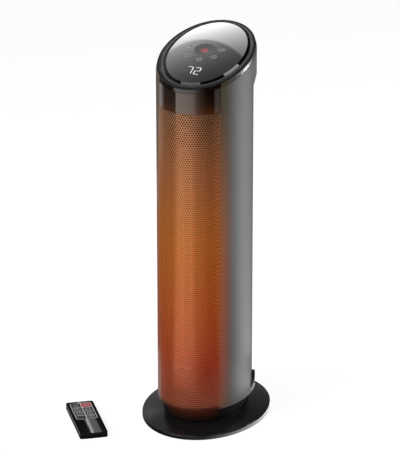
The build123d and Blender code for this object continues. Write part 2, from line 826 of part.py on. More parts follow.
# Blower wheel: leaning blades between discs, with a hub below and a stub shaft above
disc_step = (wheel_top - wheel_bottom - disc_thickness) / (wheel_discs - 1)
disc_places = [wheel_bottom + disc_step * i for i in range(wheel_discs)]
shaft_top = wheel_bottom + 12.0
stub_length = duct_top - wheel_top + bearing_height
blade_ring = wheel_radius - blade_depth * math.cos(math.radians(blade_lean)) / 2 - disc_thickness / 2
with BuildPart() as blower_wheel:
    with BuildSketch(Plane.XY.offset(wheel_bottom)):
        with Locations((0, wheel_y)):
            with PolarLocations(blade_ring, blade_count):
                Rectangle(blade_depth, blade_thickness, rotation=blade_lean)
    extrude(amount=wheel_top - wheel_bottom)
    for height in disc_places[1:-1]:
        with BuildSketch(Plane.XY.offset(height)):
            with Locations((0, wheel_y)):
                Circle(wheel_radius)
                Circle(wheel_radius - blade_depth - disc_thickness, mode=Mode.SUBTRACT)
        extrude(amount=disc_thickness)
    for height in (disc_places[0], disc_places[-1]):
        with BuildSketch(Plane.XY.offset(height)):
            with Locations((0, wheel_y)):
                Circle(wheel_radius)
        extrude(amount=disc_thickness)
    with BuildSketch(Plane.XY.offset(wheel_bottom)):
        with Locations((0, wheel_y)):
            Circle(2 * shaft_radius + 2)
    extrude(amount=shaft_top + 3 - wheel_bottom)
    with BuildSketch(Plane.XY.offset(wheel_top)):
        with Locations((0, wheel_y)):
            Circle(shaft_radius)
    extrude(amount=stub_length)
    with BuildSketch(Plane.XY.offset(wheel_bottom)):
        with Locations((0, wheel_y)):
            Circle(shaft_radius + running_fit)
    extrude(amount=shaft_top - wheel_bottom, mode=Mode.SUBTRACT)
blower_wheel.part.label = "blower_wheel"
export_step(blower_wheel.part, "parts/blower_wheel.step")

# Upper bearing: a bronze bush in a rubber ring, held in the duct's roof
with BuildPart() as bush_ring:
    with BuildSketch(Plane.XY.offset(duct_top)):
        with Locations((0, wheel_y)):
            Circle(upper_bush_radius)
            Circle(bearing_radius + running_fit, mode=Mode.SUBTRACT)
    extrude(amount=bearing_height)
bush_ring.part.label = "bush_ring"
export_step(bush_ring.part, "parts/bush_ring.step")

# Sleeve bearings: one in the roof, two in the motor's bridges
lower_bridge_top = stack_bottom - bridge_reach
upper_bridge_bottom = stack_top + bridge_reach - bridge_thickness
lower_bearing = lower_bridge_top - bridge_thickness
upper_bearing = upper_bridge_bottom + bridge_thickness - bearing_height
bearing_places = (duct_top, lower_bearing, upper_bearing)
with BuildPart() as sleeve_bearings:
    for height in bearing_places:
        with BuildSketch(Plane.XY.offset(height)):
            with Locations((0, wheel_y)):
                Circle(bearing_radius)
                Circle(shaft_radius + running_fit, mode=Mode.SUBTRACT)
        extrude(amount=bearing_height)
sleeve_bearings.part.label = "sleeve_bearings"
export_step(sleeve_bearings.part, "parts/sleeve_bearings.step")

# Motor shaft, up into the wheel's hub
shaft_bottom = lower_bridge_top - bridge_thickness - 3
with BuildPart() as motor_shaft:
    with BuildSketch(Plane.XY.offset(shaft_bottom)):
        with Locations((0, wheel_y)):
            Circle(shaft_radius)
    extrude(amount=shaft_top - shaft_bottom)
motor_shaft.part.label = "motor_shaft"
export_step(motor_shaft.part, "parts/motor_shaft.step")

with BuildPart() as motor_rotor:
    with BuildSketch(Plane.XY.offset(stack_bottom)):
        with Locations((0, wheel_y)):
            Circle(rotor_radius)
            Circle(shaft_radius + running_fit, mode=Mode.SUBTRACT)
    extrude(amount=stack_height)
motor_rotor.part.label = "motor_rotor"
export_step(motor_rotor.part, "parts/motor_rotor.step")

# Motor stack: the laminated iron frame around the rotor, with a window for the coil
limb_x = stack_shift + stack_width / 2 - limb_width / 2
window_width = 12.0
window_depth = stack_depth - 2 * limb_width
window_x = limb_x - limb_width / 2 - window_width / 2
with BuildPart() as motor_stack:
    with BuildSketch(Plane.XY.offset(stack_bottom)):
        with Locations((stack_shift, wheel_y)):
            RectangleRounded(stack_width, stack_depth, 3)
        with Locations((0, wheel_y)):
            Circle(rotor_radius + rotor_gap, mode=Mode.SUBTRACT)
        with Locations((window_x, wheel_y)):
            Rectangle(window_width, window_depth, mode=Mode.SUBTRACT)
        with Locations(*motor_post_places):
            Circle(screw_radius + screw_play, mode=Mode.SUBTRACT)
    extrude(amount=stack_height)
motor_stack.part.label = "motor_stack"
export_step(motor_stack.part, "parts/motor_stack.step")

# Coil around the stack's outer limb
coil_inner = limb_width / 2 + slip_gap
with BuildPart() as motor_coil:
    with BuildSketch(Plane.XY.offset(stack_bottom - coil_wrap)):
        with Locations((limb_x, wheel_y)):
            Rectangle(2 * (coil_inner + coil_wrap), window_depth - 2 * slip_gap)
    extrude(amount=stack_height + 2 * coil_wrap)
    with BuildSketch(Plane.XY.offset(stack_bottom - slip_gap)):
        with Locations((limb_x, wheel_y)):
            Rectangle(2 * coil_inner, window_depth)
    extrude(amount=stack_height + 2 * slip_gap, mode=Mode.SUBTRACT)
    fillet(motor_coil.edges().filter_by(Axis.Y), radius=0.8)
motor_coil.part.label = "motor_coil"
export_step(motor_coil.part, "parts/motor_coil.step")

# Bridges over and under the stack, which hold the motor's sleeve bearings
bridge_span = stack_depth
bridges = ((lower_bridge_top, stack_bottom, -1), (upper_bridge_bottom, stack_top, 1))
with BuildPart() as motor_bridges:
    for strip, face, side in bridges:
        with BuildSketch(Plane.XY.offset(strip)):
            with Locations((0, wheel_y)):
                Rectangle(bridge_width, bridge_span)
                Circle(bearing_radius + running_fit, mode=Mode.SUBTRACT)
        extrude(amount=side * bridge_thickness)
        with BuildSketch(Plane.XY.offset(strip)):
            with Locations((0, wheel_y)):
                with GridLocations(1, bridge_span - bridge_thickness, 1, 2):
                    Rectangle(bridge_width, bridge_thickness)
        extrude(amount=face - strip)
motor_bridges.part.label = "motor_bridges"
export_step(motor_bridges.part, "parts/motor_bridges.step")

# Long screws that hang the motor from the posts of the duct's floor
with BuildPart() as motor_screws:
    with BuildSketch(Plane.XY.offset(stack_bottom)):
        with Locations(*motor_post_places):
            Circle(screw_head_radius)
    extrude(amount=-screw_head_height)
    with BuildSketch(Plane.XY.offset(stack_bottom)):
        with Locations(*motor_post_places):
            Circle(screw_radius)
    extrude(amount=duct_bottom + duct_plate - stack_bottom)
motor_screws.part.label = "motor_screws"
export_step(motor_screws.part, "parts/motor_screws.step")

# Heater frame: a heat-resistant surround with a rib between its two banks
heater_bottom = duct_bottom + duct_plate
heater_middle = (heater_front + heater_back) / 2
bank_height = duct_top - heater_bottom - 2 * heater_end
bank_bottom = heater_bottom + heater_end
stone_pitch = bank_height / stone_count
bank_width = duct_half_width - heater_frame_wall - heater_rib / 2
bar_width = stone_thickness + 2 * electrode_thickness
fin_width = (bank_width - bar_width) / 2
bank_places = [side * (heater_rib + bank_width) / 2 for side in (-1, 1)]
with BuildPart() as heater_frame:
    with BuildSketch(Plane.XY.offset(heater_bottom)):
        with Locations((0, heater_middle)):
            Rectangle(2 * duct_half_width, heater_depth)
    extrude(amount=duct_top - heater_bottom)
    with BuildSketch(Plane.XZ.offset(-heater_back)):
        for x in bank_places:
            with Locations((x, bank_bottom + bank_height / 2)):
                Rectangle(bank_width, bank_height)
    extrude(amount=heater_depth, mode=Mode.SUBTRACT)
heater_frame.part.label = "heater_frame"
export_step(heater_frame.part, "parts/heater_frame.step")

# Ceramic stones: two bars of self-limiting heating plates
with BuildPart() as ceramic_stones:
    with BuildSketch(Plane.XZ.offset(-heater_middle - stone_depth / 2)):
        for x in bank_places:
            with Locations((x, bank_bottom + bank_height / 2)):
                with GridLocations(1, stone_pitch, 1, stone_count):
                    Rectangle(stone_thickness, stone_pitch - stone_gap)
    extrude(amount=stone_depth)
ceramic_stones.part.label = "ceramic_stones"
export_step(ceramic_stones.part, "parts/ceramic_stones.step")

# Electrode strips on both faces of each bar
electrode_offset = (stone_thickness + electrode_thickness) / 2
with BuildPart() as electrode_strips:
    with BuildSketch(Plane.XZ.offset(-heater_middle - stone_depth / 2)):
        for x in bank_places:
            with Locations((x, bank_bottom + bank_height / 2)):
                with GridLocations(2 * electrode_offset, 1, 2, 1):
                    Rectangle(electrode_thickness, bank_height)
    extrude(amount=stone_depth)
electrode_strips.part.label = "electrode_strips"
export_step(electrode_strips.part, "parts/electrode_strips.step")

# Aluminium fins: a ladder of thin plates on each side of each bar
fin_pitch = bank_height / fin_count
fin_offset = (bar_width + fin_width) / 2
with BuildPart() as heater_fins:
    with BuildSketch(Plane.XZ.offset(-heater_middle - stone_depth / 2)):
        for x in bank_places:
            with Locations((x, bank_bottom + bank_height / 2)):
                with GridLocations(2 * fin_offset, 1, 2, 1):
                    Rectangle(fin_width, bank_height)
        for x in bank_places:
            with Locations((x, bank_bottom + bank_height / 2)):
                with GridLocations(2 * fin_offset, fin_pitch, 2, fin_count):
                    Rectangle(fin_width - 2 * fin_edge, fin_pitch - fin_thickness, mode=Mode.SUBTRACT)
    extrude(amount=stone_depth)
heater_fins.part.label = "heater_fins"
export_step(heater_fins.part, "parts/heater_fins.step")

# Thermal cut-out and one-shot fuse on the heater frame's top block
safety_height = duct_top - heater_end / 2
cutout_radius = 5.5
cutout_depth = 6.0
fuse_radius = 2.0
fuse_length = 14.0
with BuildPart() as thermal_cutout:
    with BuildSketch(Plane.XZ.offset(-heater_front)):
        with Locations((bank_places[0], safety_height)):
            RectangleRounded(4 * cutout_radius, heater_end - 4, 1.5)
    extrude(amount=1.2)
    with BuildSketch(Plane.XZ.offset(-heater_front)):
        with Locations((bank_places[0], safety_height)):
            Circle(cutout_radius)
    extrude(amount=cutout_depth)
thermal_cutout.part.label = "thermal_cutout"
export_step(thermal_cutout.part, "parts/thermal_cutout.step")

with BuildPart() as thermal_fuse:
    with BuildSketch(Plane.YZ.offset(bank_places[1] - fuse_length / 2)):
        with Locations((heater_front - fuse_radius, safety_height)):
            Circle(fuse_radius)
    extrude(amount=fuse_length)
    with BuildSketch(Plane.XZ.offset(-heater_front)):
        with Locations((bank_places[1], safety_height)):
            Rectangle(fuse_length / 3, heater_end - 4)
    extrude(amount=1.0)
thermal_fuse.part.label = "thermal_fuse"
export_step(thermal_fuse.part, "parts/thermal_fuse.step")

# Power board on the cap's posts
board_top = power_board_height + board_thickness
with BuildPart() as power_board:
    with BuildSketch(Plane.XY.offset(power_board_height)):
        with Locations((0, power_board_y)):
            RectangleRounded(power_board_width, power_board_depth, 2)
        with Locations(*board_post_places):
            Circle(screw_radius + screw_play, mode=Mode.SUBTRACT)
    extrude(amount=board_thickness)
power_board.part.label = "power_board"
export_step(power_board.part, "parts/power_board.step")

# Two relays that switch the heater's banks
with BuildPart() as heater_relays:
    with BuildSketch(Plane.XY.offset(board_top)):
        with Locations((-27, power_board_y), (-8, power_board_y)):
            RectangleRounded(15.5, 19, 1)
    extrude(amount=15.5)
heater_relays.part.label = "heater_relays"
export_step(heater_relays.part, "parts/heater_relays.step")

# Small transformer and round capacitor of the low-voltage supply
with BuildPart() as supply_parts:
    with BuildSketch(Plane.XY.offset(board_top)):
        with Locations((18, power_board_y - 8)):
            RectangleRounded(26, 22, 1)
    extrude(amount=18)
    with BuildSketch(Plane.XY.offset(board_top)):
        with Locations((16, power_board_y + 14)):
            Circle(6.5)
    extrude(amount=16)
supply_parts.part.label = "supply_parts"
export_step(supply_parts.part, "parts/supply_parts.step")

# Terminal block for the mains leads, with its wire entries
with BuildPart() as terminal_block:
    with BuildSketch(Plane.XY.offset(board_top)):
        with Locations((-12, power_board_y + 17)):
            Rectangle(24, 9)
    extrude(amount=11)
    with BuildSketch(Plane.XZ.offset(-power_board_y - 21.5)):
        with Locations((-12, board_top + 4)):
            with GridLocations(7.5, 1, 3, 1):
                Circle(2)
    extrude(amount=6, mode=Mode.SUBTRACT)
terminal_block.part.label = "terminal_block"
export_step(terminal_block.part, "parts/terminal_block.step")

# Tip-over switch, standing on the cap
with BuildPart() as tip_switch:
    with BuildSketch(Plane.XY.offset(cap_top)):
        with Locations((42, 8)):
            RectangleRounded(20, 12, 1)
    extrude(amount=16)
    with BuildSketch(Plane.XY.offset(cap_top + 16)):
        with Locations((42, 8)):
            Circle(4)
    extrude(amount=1.5)
tip_switch.part.label = "tip_switch"
export_step(tip_switch.part, "parts/tip_switch.step")

# Cord gland through the rear housing's wall, with its nut inside
with BuildPart() as cord_gland:
    with BuildSketch(gland_plane):
        Circle(gland_radius)
    extrude(amount=gland_proud)
    fillet(cord_gland.edges().filter_by_position(Axis.Z, 0, 100).group_by(Axis.X)[-1], radius=1)
    with BuildSketch(gland_plane):
        Circle(gland_neck_radius)
    extrude(amount=-gland_inner)
    with BuildSketch(gland_plane.offset(gland_proud)):
        Circle(gland_bore_radius)
    extrude(amount=-(gland_proud + gland_inner), mode=Mode.SUBTRACT)
cord_gland.part.label = "cord_gland"
export_step(cord_gland.part, "parts/cord_gland.step")

with BuildPart() as gland_nut:
    with BuildSketch(gland_plane.offset(-wall - 0.35)):
        Circle(gland_radius + 0.4)
        Circle(gland_neck_radius + screw_play, mode=Mode.SUBTRACT)
    extrude(amount=-4)
gland_nut.part.label = "gland_nut"
export_step(gland_nut.part, "parts/gland_nut.step")

# Bezel ring: caps the shells, seats the glass and carries the control tray
skirt_inset = wall + slip_gap
skirt_wall = 1.5
tray_post_places = mirrored(48.6, 50.5)
with BuildPart() as bezel_ring:
    with BuildSketch(Plane.XY.offset(head_height - head_climb - 2 * bezel_skirt)):
        oval(skirt_inset)
        with BuildSketch(mode=Mode.SUBTRACT):
            oval(skirt_inset + skirt_wall)
    extrude(amount=2 * head_climb + 4 * bezel_skirt)
    split(bisect_by=head_plane, keep=Keep.BOTTOM)
    split(bisect_by=head_plane.offset(-bezel_skirt), keep=Keep.TOP)
    with BuildSketch(head_plane.offset(-bezel_ledge)):
        head_oval(skirt_inset + 0.8)
        with BuildSketch(mode=Mode.SUBTRACT):
            head_oval(bezel_ledge_inset, panel_shift)
    extrude(amount=bezel_ledge)
    with BuildSketch(head_plane):
        head_oval(shoulder_inset)
        with BuildSketch(mode=Mode.SUBTRACT):
            head_oval(bezel_inner_inset, panel_shift)
    extrude(amount=bezel_height)
    with BuildSketch(head_plane.offset(-bezel_ledge)):
        with Locations(*tray_post_places):
            Circle(boss_radius)
    extrude(amount=bezel_ledge - tray_drop)
    with BuildSketch(head_plane.offset(-tray_drop)):
        with Locations(*tray_post_places):
            Circle(screw_radius + screw_play)
    extrude(amount=tray_drop - bezel_ledge - 2, mode=Mode.SUBTRACT)
bezel_ring.part.label = "bezel_ring"
export_step(bezel_ring.part, "parts/bezel_ring.step")

# Glass control panel with a wide bevel and the power button's bore
panel_inset = bezel_inner_inset + panel_gap
bevel_foot = panel_thickness - panel_bevel_height
with BuildPart() as panel_lens:
    with BuildSketch(head_plane):
        head_oval(panel_inset, panel_shift)
    extrude(amount=bevel_foot)
    with BuildSketch(head_plane.offset(bevel_foot)):
        head_oval(panel_inset, panel_shift)
    with BuildSketch(head_plane.offset(panel_thickness)):
        head_oval(panel_inset + panel_bevel_width, panel_shift)
    loft(ruled=True)
    with BuildSketch(head_plane):
        with Locations((button_x, button_y)):
            Circle(button_radius + slip_gap)
    extrude(amount=panel_thickness, mode=Mode.SUBTRACT)
panel_lens.part.label = "panel_lens"
export_step(panel_lens.part, "parts/panel_lens.step")

# Power button: a concave cap held under the glass by its flange, with a stem below
button_flange = 1.2
plunger_top = -3.0
dish_edge = button_radius - 0.9
dish_radius = (dish_edge**2 + button_dish**2) / (2 * button_dish)
with BuildPart() as power_button:
    with BuildSketch(head_plane):
        with Locations((button_x, button_y)):
            Circle(button_radius)
    extrude(amount=button_thickness)
    with BuildSketch(head_plane):
        with Locations((button_x, button_y)):
            Circle(button_radius + button_flange)
    extrude(amount=-button_flange)
    with BuildSketch(head_plane.offset(-button_flange)):
        with Locations((button_x, button_y)):
            Circle(button_stem_radius)
    extrude(amount=button_flange + plunger_top)
    with Locations(head_plane):
        with Locations((button_x, button_y, button_thickness - button_dish + dish_radius)):
            Sphere(dish_radius, mode=Mode.SUBTRACT)
power_button.part.label = "power_button"
export_step(power_button.part, "parts/power_button.step")

# Push switch under the button, and the plunger that moves with the button
switch_top = plunger_top - button_travel - slip_gap
plunger_end = switch_top - plunger_reach
with BuildPart() as switch_plunger:
    with BuildSketch(head_plane.offset(plunger_top)):
        with Locations((button_x, button_y)):
            Circle(plunger_radius)
    extrude(amount=plunger_end - plunger_top)
switch_plunger.part.label = "switch_plunger"
export_step(switch_plunger.part, "parts/switch_plunger.step")

with BuildPart() as power_switch:
    with BuildSketch(head_plane.offset(-panel_board_drop)):
        with Locations((button_x, button_y)):
            Rectangle(switch_size, switch_size)
    extrude(amount=switch_top + panel_board_drop)
    with BuildSketch(head_plane.offset(switch_top)):
        with Locations((button_x, button_y)):
            Circle(plunger_radius + running_fit)
    extrude(amount=-(plunger_reach + button_travel + 0.1), mode=Mode.SUBTRACT)
power_switch.part.label = "power_switch"
export_step(power_switch.part, "parts/power_switch.step")

# Control board under the glass, on posts of the tray
panel_board_y = -3.0
panel_post_places = [(x, y + panel_board_y) for x, y in mirrored(28.0, 40.0)]
with BuildPart() as control_board:
    with BuildSketch(head_plane.offset(-panel_board_drop)):
        with Locations((0, panel_board_y)):
            Ellipse(panel_board_half_width, panel_board_half_depth)
        with Locations(*panel_post_places):
            Circle(screw_radius + screw_play, mode=Mode.SUBTRACT)
    extrude(amount=-board_thickness)
control_board.part.label = "control_board"
export_step(control_board.part, "parts/control_board.step")

# Display module and infrared receiver on the control board
with BuildPart() as display_module:
    with BuildSketch(head_plane.offset(-panel_board_drop)):
        with Locations((display_x, display_y)):
            Rectangle(display_width, display_depth)
    extrude(amount=display_height)
display_module.part.label = "display_module"
export_step(display_module.part, "parts/display_module.step")

with BuildPart() as ir_receiver:
    with BuildSketch(head_plane.offset(-panel_board_drop)):
        with Locations((22, -51)):
            RectangleRounded(5.5, 5.5, 0.6)
    extrude(amount=3)
    with BuildSketch(head_plane.offset(3 - panel_board_drop)):
        with Locations((22, -51)):
            Circle(2.3)
    extrude(amount=1.6)
ir_receiver.part.label = "ir_receiver"
export_step(ir_receiver.part, "parts/ir_receiver.step")

# Tray that carries the control board, hung from the bezel ring's posts
board_post_height = tray_drop - panel_board_drop - board_thickness
with BuildPart() as head_tray:
    with BuildSketch(head_plane.offset(-tray_drop)):
        head_oval(wall + 6)
        with Locations(*tray_post_places):
            Circle(screw_radius + screw_play, mode=Mode.SUBTRACT)
    extrude(amount=-tray_thickness)
    with BuildSketch(head_plane.offset(-tray_drop)):
        with Locations(*panel_post_places):
            Circle(boss_radius - 1)
    extrude(amount=board_post_height)
    with BuildSketch(head_plane.offset(-panel_board_drop - board_screw_length - slip_gap)):
        with Locations(*panel_post_places):
            Circle(screw_radius + screw_play)
    extrude(amount=board_screw_length, mode=Mode.SUBTRACT)
head_tray.part.label = "head_tray"
export_step(head_tray.part, "parts/head_tray.step")

# Case screws: cap to turntable, cap to housings, and tray to bezel ring
case_screw_seats = (
    (Plane.XY.offset(cap_top), neck_boss_places, -1),
    (Plane.XY.offset(housing_screw_seat), housing_boss_places, 1),
    (head_plane.offset(-tray_drop - tray_thickness), tray_post_places, 1),
)
with BuildPart() as case_screws:
    for seat, places, way in case_screw_seats:
        with BuildSketch(seat):
            with Locations(*places):
                Circle(screw_head_radius)
        extrude(amount=-way * screw_head_height)
        with BuildSketch(seat):
            with Locations(*places):
                Circle(screw_radius)
        extrude(amount=way * case_screw_length)
case_screws.part.label = "case_screws"
export_step(case_screws.part, "parts/case_screws.step")

# Board screws: power board, control board and the swing motor's ears
board_screw_seats = (
    (Plane.XY.offset(board_top), board_post_places),
    (Plane.XY.offset(cap_top + swing_ear_thickness), swing_ear_places),
    (head_plane.offset(-panel_board_drop), panel_post_places),
)
with BuildPart() as board_screws:
    for seat, places in board_screw_seats:
        with BuildSketch(seat):
            with Locations(*places):
                Circle(screw_head_radius)
        extrude(amount=screw_head_height)
        with BuildSketch(seat):
            with Locations(*places):
                Circle(screw_radius)
        extrude(amount=-board_screw_length)
board_screws.part.label = "board_screws"
export_step(board_screws.part, "parts/board_screws.step")

# Remote control, with its own plane: local x across, local y towards the keys' end
remote_plane = Plane(
    origin=(remote_x, remote_y, 0),
    x_dir=(math.cos(math.radians(remote_turn)), math.sin(math.radians(remote_turn)), 0),
    z_dir=(0, 0, 1),
)


def remote_outline(inset):
    """Outline of the remote, drawn in from its outer face, with gently bowed ends."""
    RectangleRounded(remote_width - 2 * inset, remote_length - 2 * inset, remote_corner - inset)
    for side in (-1, 1):
        with Locations((0, side * (remote_end - remote_end_radius))):
            Circle(remote_end_radius - inset, mode=Mode.INTERSECT)


# Lower case of the remote, with the slot and rails of the battery tray
remote_end = remote_length / 2
remote_end_radius = remote_width**2 / (8 * remote_crown) + remote_crown / 2
tray_slot_half = battery_tray_width / 2 + slip_gap
tray_rail = 1.2
tray_front = remote_crown / 2 - remote_end
rail_middle = battery_tray_length / 2 + remote_wall - remote_end
with BuildPart() as remote_lower:
    with BuildSketch(remote_plane):
        remote_outline(0)
    extrude(amount=remote_lower_height)
    with BuildSketch(remote_plane.offset(remote_wall)):
        remote_outline(remote_wall)
    extrude(amount=remote_lower_height, mode=Mode.SUBTRACT)
    with BuildSketch(remote_plane.offset(remote_wall / 2)):
        with Locations((0, rail_middle)):
            Rectangle(2 * (tray_slot_half + tray_rail), battery_tray_length)
            Rectangle(2 * tray_slot_half, battery_tray_length, mode=Mode.SUBTRACT)
    extrude(amount=remote_lower_height - remote_wall / 2)
    with BuildSketch(remote_plane.offset(remote_wall)):
        with Locations((0, -remote_end)):
            Rectangle(2 * tray_slot_half, 4 * remote_wall)
    extrude(amount=remote_lower_height, mode=Mode.SUBTRACT)
remote_lower.part.label = "remote_lower"
export_step(remote_lower.part, "parts/remote_lower.step")

# Upper case of the remote, with a shallow pocket for the key film and the window's slot
overlay_y = remote_end - overlay_top_margin - overlay_length / 2
overlay_corner = 3.0
window_height = 2.0
window_z = remote_lower_height + window_height / 2 + 0.3
ir_window_width = 8.0
with BuildPart() as remote_upper:
    with BuildSketch(remote_plane.offset(remote_lower_height)):
        remote_outline(0)
    extrude(amount=remote_height - remote_lower_height)
    fillet(remote_upper.faces().sort_by(Axis.Z)[-1].edges(), radius=0.7)
    with BuildSketch(remote_plane.offset(remote_lower_height)):
        remote_outline(remote_wall)
    extrude(amount=remote_height - remote_lower_height - remote_wall, mode=Mode.SUBTRACT)
    with BuildSketch(remote_plane.offset(remote_height)):
        with Locations((0, overlay_y)):
            RectangleRounded(overlay_width + 0.2, overlay_length + 0.2, overlay_corner)
    extrude(amount=-overlay_thickness, mode=Mode.SUBTRACT)
    with BuildSketch(remote_plane.offset(window_z - window_height / 2 - screw_play)):
        with Locations((0, remote_end)):
            Rectangle(ir_window_width + 2 * screw_play, 4 * remote_wall)
    extrude(amount=window_height + 2 * screw_play, mode=Mode.SUBTRACT)
remote_upper.part.label = "remote_upper"
export_step(remote_upper.part, "parts/remote_upper.step")

# Printed key film in the upper case's pocket
with BuildPart() as key_film:
    with BuildSketch(remote_plane.offset(remote_height - overlay_thickness)):
        with Locations((0, overlay_y)):
            RectangleRounded(overlay_width, overlay_length, overlay_corner)
    extrude(amount=overlay_thickness)
key_film.part.label = "key_film"
export_step(key_film.part, "parts/key_film.step")

# Dark infrared window in the remote's far end
with BuildPart() as ir_window:
    with BuildSketch(remote_plane.offset(window_z - window_height / 2)):
        with Locations((0, remote_end - remote_wall / 2 - 0.1)):
            Rectangle(ir_window_width, remote_wall)
    extrude(amount=window_height)
ir_window.part.label = "ir_window"
export_step(ir_window.part, "parts/ir_window.step")

# Circuit board of the remote, lying on the tray's rails
remote_board_length = 104.0
with BuildPart() as remote_board:
    with BuildSketch(remote_plane.offset(remote_lower_height)):
        Rectangle(remote_width - 2 * remote_wall - 2, remote_board_length)
    extrude(amount=1.0)
remote_board.part.label = "remote_board"
export_step(remote_board.part, "parts/remote_board.step")

# Battery tray that pulls out of the remote's near end, and its coin cell
tray_bottom = remote_wall + 0.1
cell_y = tray_front + battery_tray_length - battery_tray_wall - cell_radius - 0.8
with BuildPart() as battery_tray:
    with BuildSketch(remote_plane.offset(tray_bottom)):
        with Locations((0, tray_front + battery_tray_length / 2)):
            Rectangle(battery_tray_width, battery_tray_length)
    extrude(amount=battery_tray_height)
    with BuildSketch(remote_plane.offset(tray_bottom + battery_tray_floor)):
        with Locations((0, cell_y)):
            Circle(cell_radius + screw_play)
    extrude(amount=battery_tray_height, mode=Mode.SUBTRACT)
battery_tray.part.label = "battery_tray"
export_step(battery_tray.part, "parts/battery_tray.step")

with BuildPart() as coin_cell:
    with BuildSketch(remote_plane.offset(tray_bottom + battery_tray_floor)):
        with Locations((0, cell_y)):
            Circle(cell_radius)
    extrude(amount=cell_thickness)
coin_cell.part.label = "coin_cell"
export_step(coin_cell.part, "parts/coin_cell.step")
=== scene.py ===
import math

import bpy
from mathutils import Matrix, Vector


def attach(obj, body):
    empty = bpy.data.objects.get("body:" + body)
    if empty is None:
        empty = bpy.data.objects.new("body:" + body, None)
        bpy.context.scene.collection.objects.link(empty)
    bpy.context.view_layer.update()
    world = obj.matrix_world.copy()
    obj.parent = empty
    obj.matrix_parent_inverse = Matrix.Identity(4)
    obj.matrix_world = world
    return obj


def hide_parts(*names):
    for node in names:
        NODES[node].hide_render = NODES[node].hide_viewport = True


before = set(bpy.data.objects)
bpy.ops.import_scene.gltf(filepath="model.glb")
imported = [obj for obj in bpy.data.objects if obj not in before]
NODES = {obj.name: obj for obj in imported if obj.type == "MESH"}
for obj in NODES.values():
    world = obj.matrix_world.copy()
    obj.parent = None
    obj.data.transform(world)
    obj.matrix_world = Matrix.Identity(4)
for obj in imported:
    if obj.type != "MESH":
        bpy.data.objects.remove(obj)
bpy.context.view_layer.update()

MM = 0.001

# The camera: place and aim in metres, lens and sensor in millimetres, picture in pixels
CAMERA_PLACE = (1.37194, -3.82217, 1.82230)
CAMERA_AIM = (0, 0, 0.259)
CAMERA_LENS = 230.35
SENSOR_WIDTH = 36.0
PICTURE_HEIGHT = 457
PICTURE_SHIFT_X = -6.53
PICTURE_SHIFT_Y = 20.43

# Sizes repeated from the part's source
BODY_HALF_WIDTH = 70.0
BODY_HALF_DEPTH = 95.5
GRILLE_HALF_WIDTH = 46.65
GRILLE_BOTTOM = 35.5
GRILLE_TOP = 499.6
HEAD_HEIGHT = 561.0
HEAD_TILT = 14.8
SHOULDER_INSET = 1.5
BEZEL_INNER_INSET = 9.5
PANEL_SHIFT = 2.5
PANEL_THICKNESS = 2.9
BUTTON_X = -5.9
BUTTON_Y = 9.4
BUTTON_DISH = 1.8
DISH_EDGE = 14.3
REMOTE_X = -152.0
REMOTE_Y = -110.0
REMOTE_TURN = 33.0
REMOTE_HEIGHT = 8.6
FILM_HALF_WIDTH = 16.5
FILM_LOW = -7.5
FILM_HIGH = 52.5

HEAD = Matrix.Translation((0, 0, HEAD_HEIGHT * MM)) @ Matrix.Rotation(math.radians(HEAD_TILT), 4, "X")
REMOTE = Matrix.Translation((REMOTE_X * MM, REMOTE_Y * MM, 0)) @ Matrix.Rotation(
    math.radians(REMOTE_TURN), 4, "Z"
)

# Where a mix node has its two colours and its two numbers, among its sockets
COLOUR_A, COLOUR_B = 6, 7
NUMBER_A, NUMBER_B = 2, 3

# Finishes: how wide their slow clouds are, in millimetres, and where most of one noise and
# of the sum of two lies
CLOUD_SIZE = 24.0
CLOUD_DETAIL = 3.0
GRAIN_DETAIL = 2.0
CLOUD_LOW, CLOUD_HIGH = 0.3, 0.7
SUM_LOW, SUM_HIGH = 0.7, 1.3


def srgb(code):
    """The linear colour of an sRGB hex value."""
    parts = [int(code[i : i + 2], 16) / 255 for i in (1, 3, 5)]
    return [p / 12.92 if p <= 0.04045 else ((p + 0.055) / 1.055) ** 2.4 for p in parts] + [1.0]


BLACK = srgb("#000000")
WHITE = srgb("#ffffff")


def used_output(node):
    """The first output that a node gives with its present settings."""
    return next(output for output in node.outputs if output.enabled)


def add(tree, kind, sockets=None, stops=None, **settings):
    """Adds one node. A socket takes a value, or the output or node that is linked to it."""
    made = tree.nodes.new(kind)
    for name, value in settings.items():
        setattr(made, name, value)
    for name, value in (sockets or {}).items():
        if isinstance(value, bpy.types.Node):
            value = used_output(value)
        if isinstance(value, bpy.types.NodeSocket):
            tree.links.new(value, made.inputs[name])
        else:
            made.inputs[name].default_value = value
    for place, (position, code) in enumerate(stops or []):
        elements = made.color_ramp.elements
        element = elements[place] if place < 2 else elements.new(position)
        element.position = position
        element.color = srgb(code)
    return made


def surface_of(material):
    """The shader that a finish ends in."""
    return material.node_tree.nodes["Principled BSDF"]


def feed(material, socket, node):
    """Links a node to a socket of a finish's shader."""
    material.node_tree.links.new(used_output(node), surface_of(material).inputs[socket])


def coat_colour(material):
    """The output that a finish's colour comes from."""
    return surface_of(material).inputs["Base Color"].links[0].from_socket


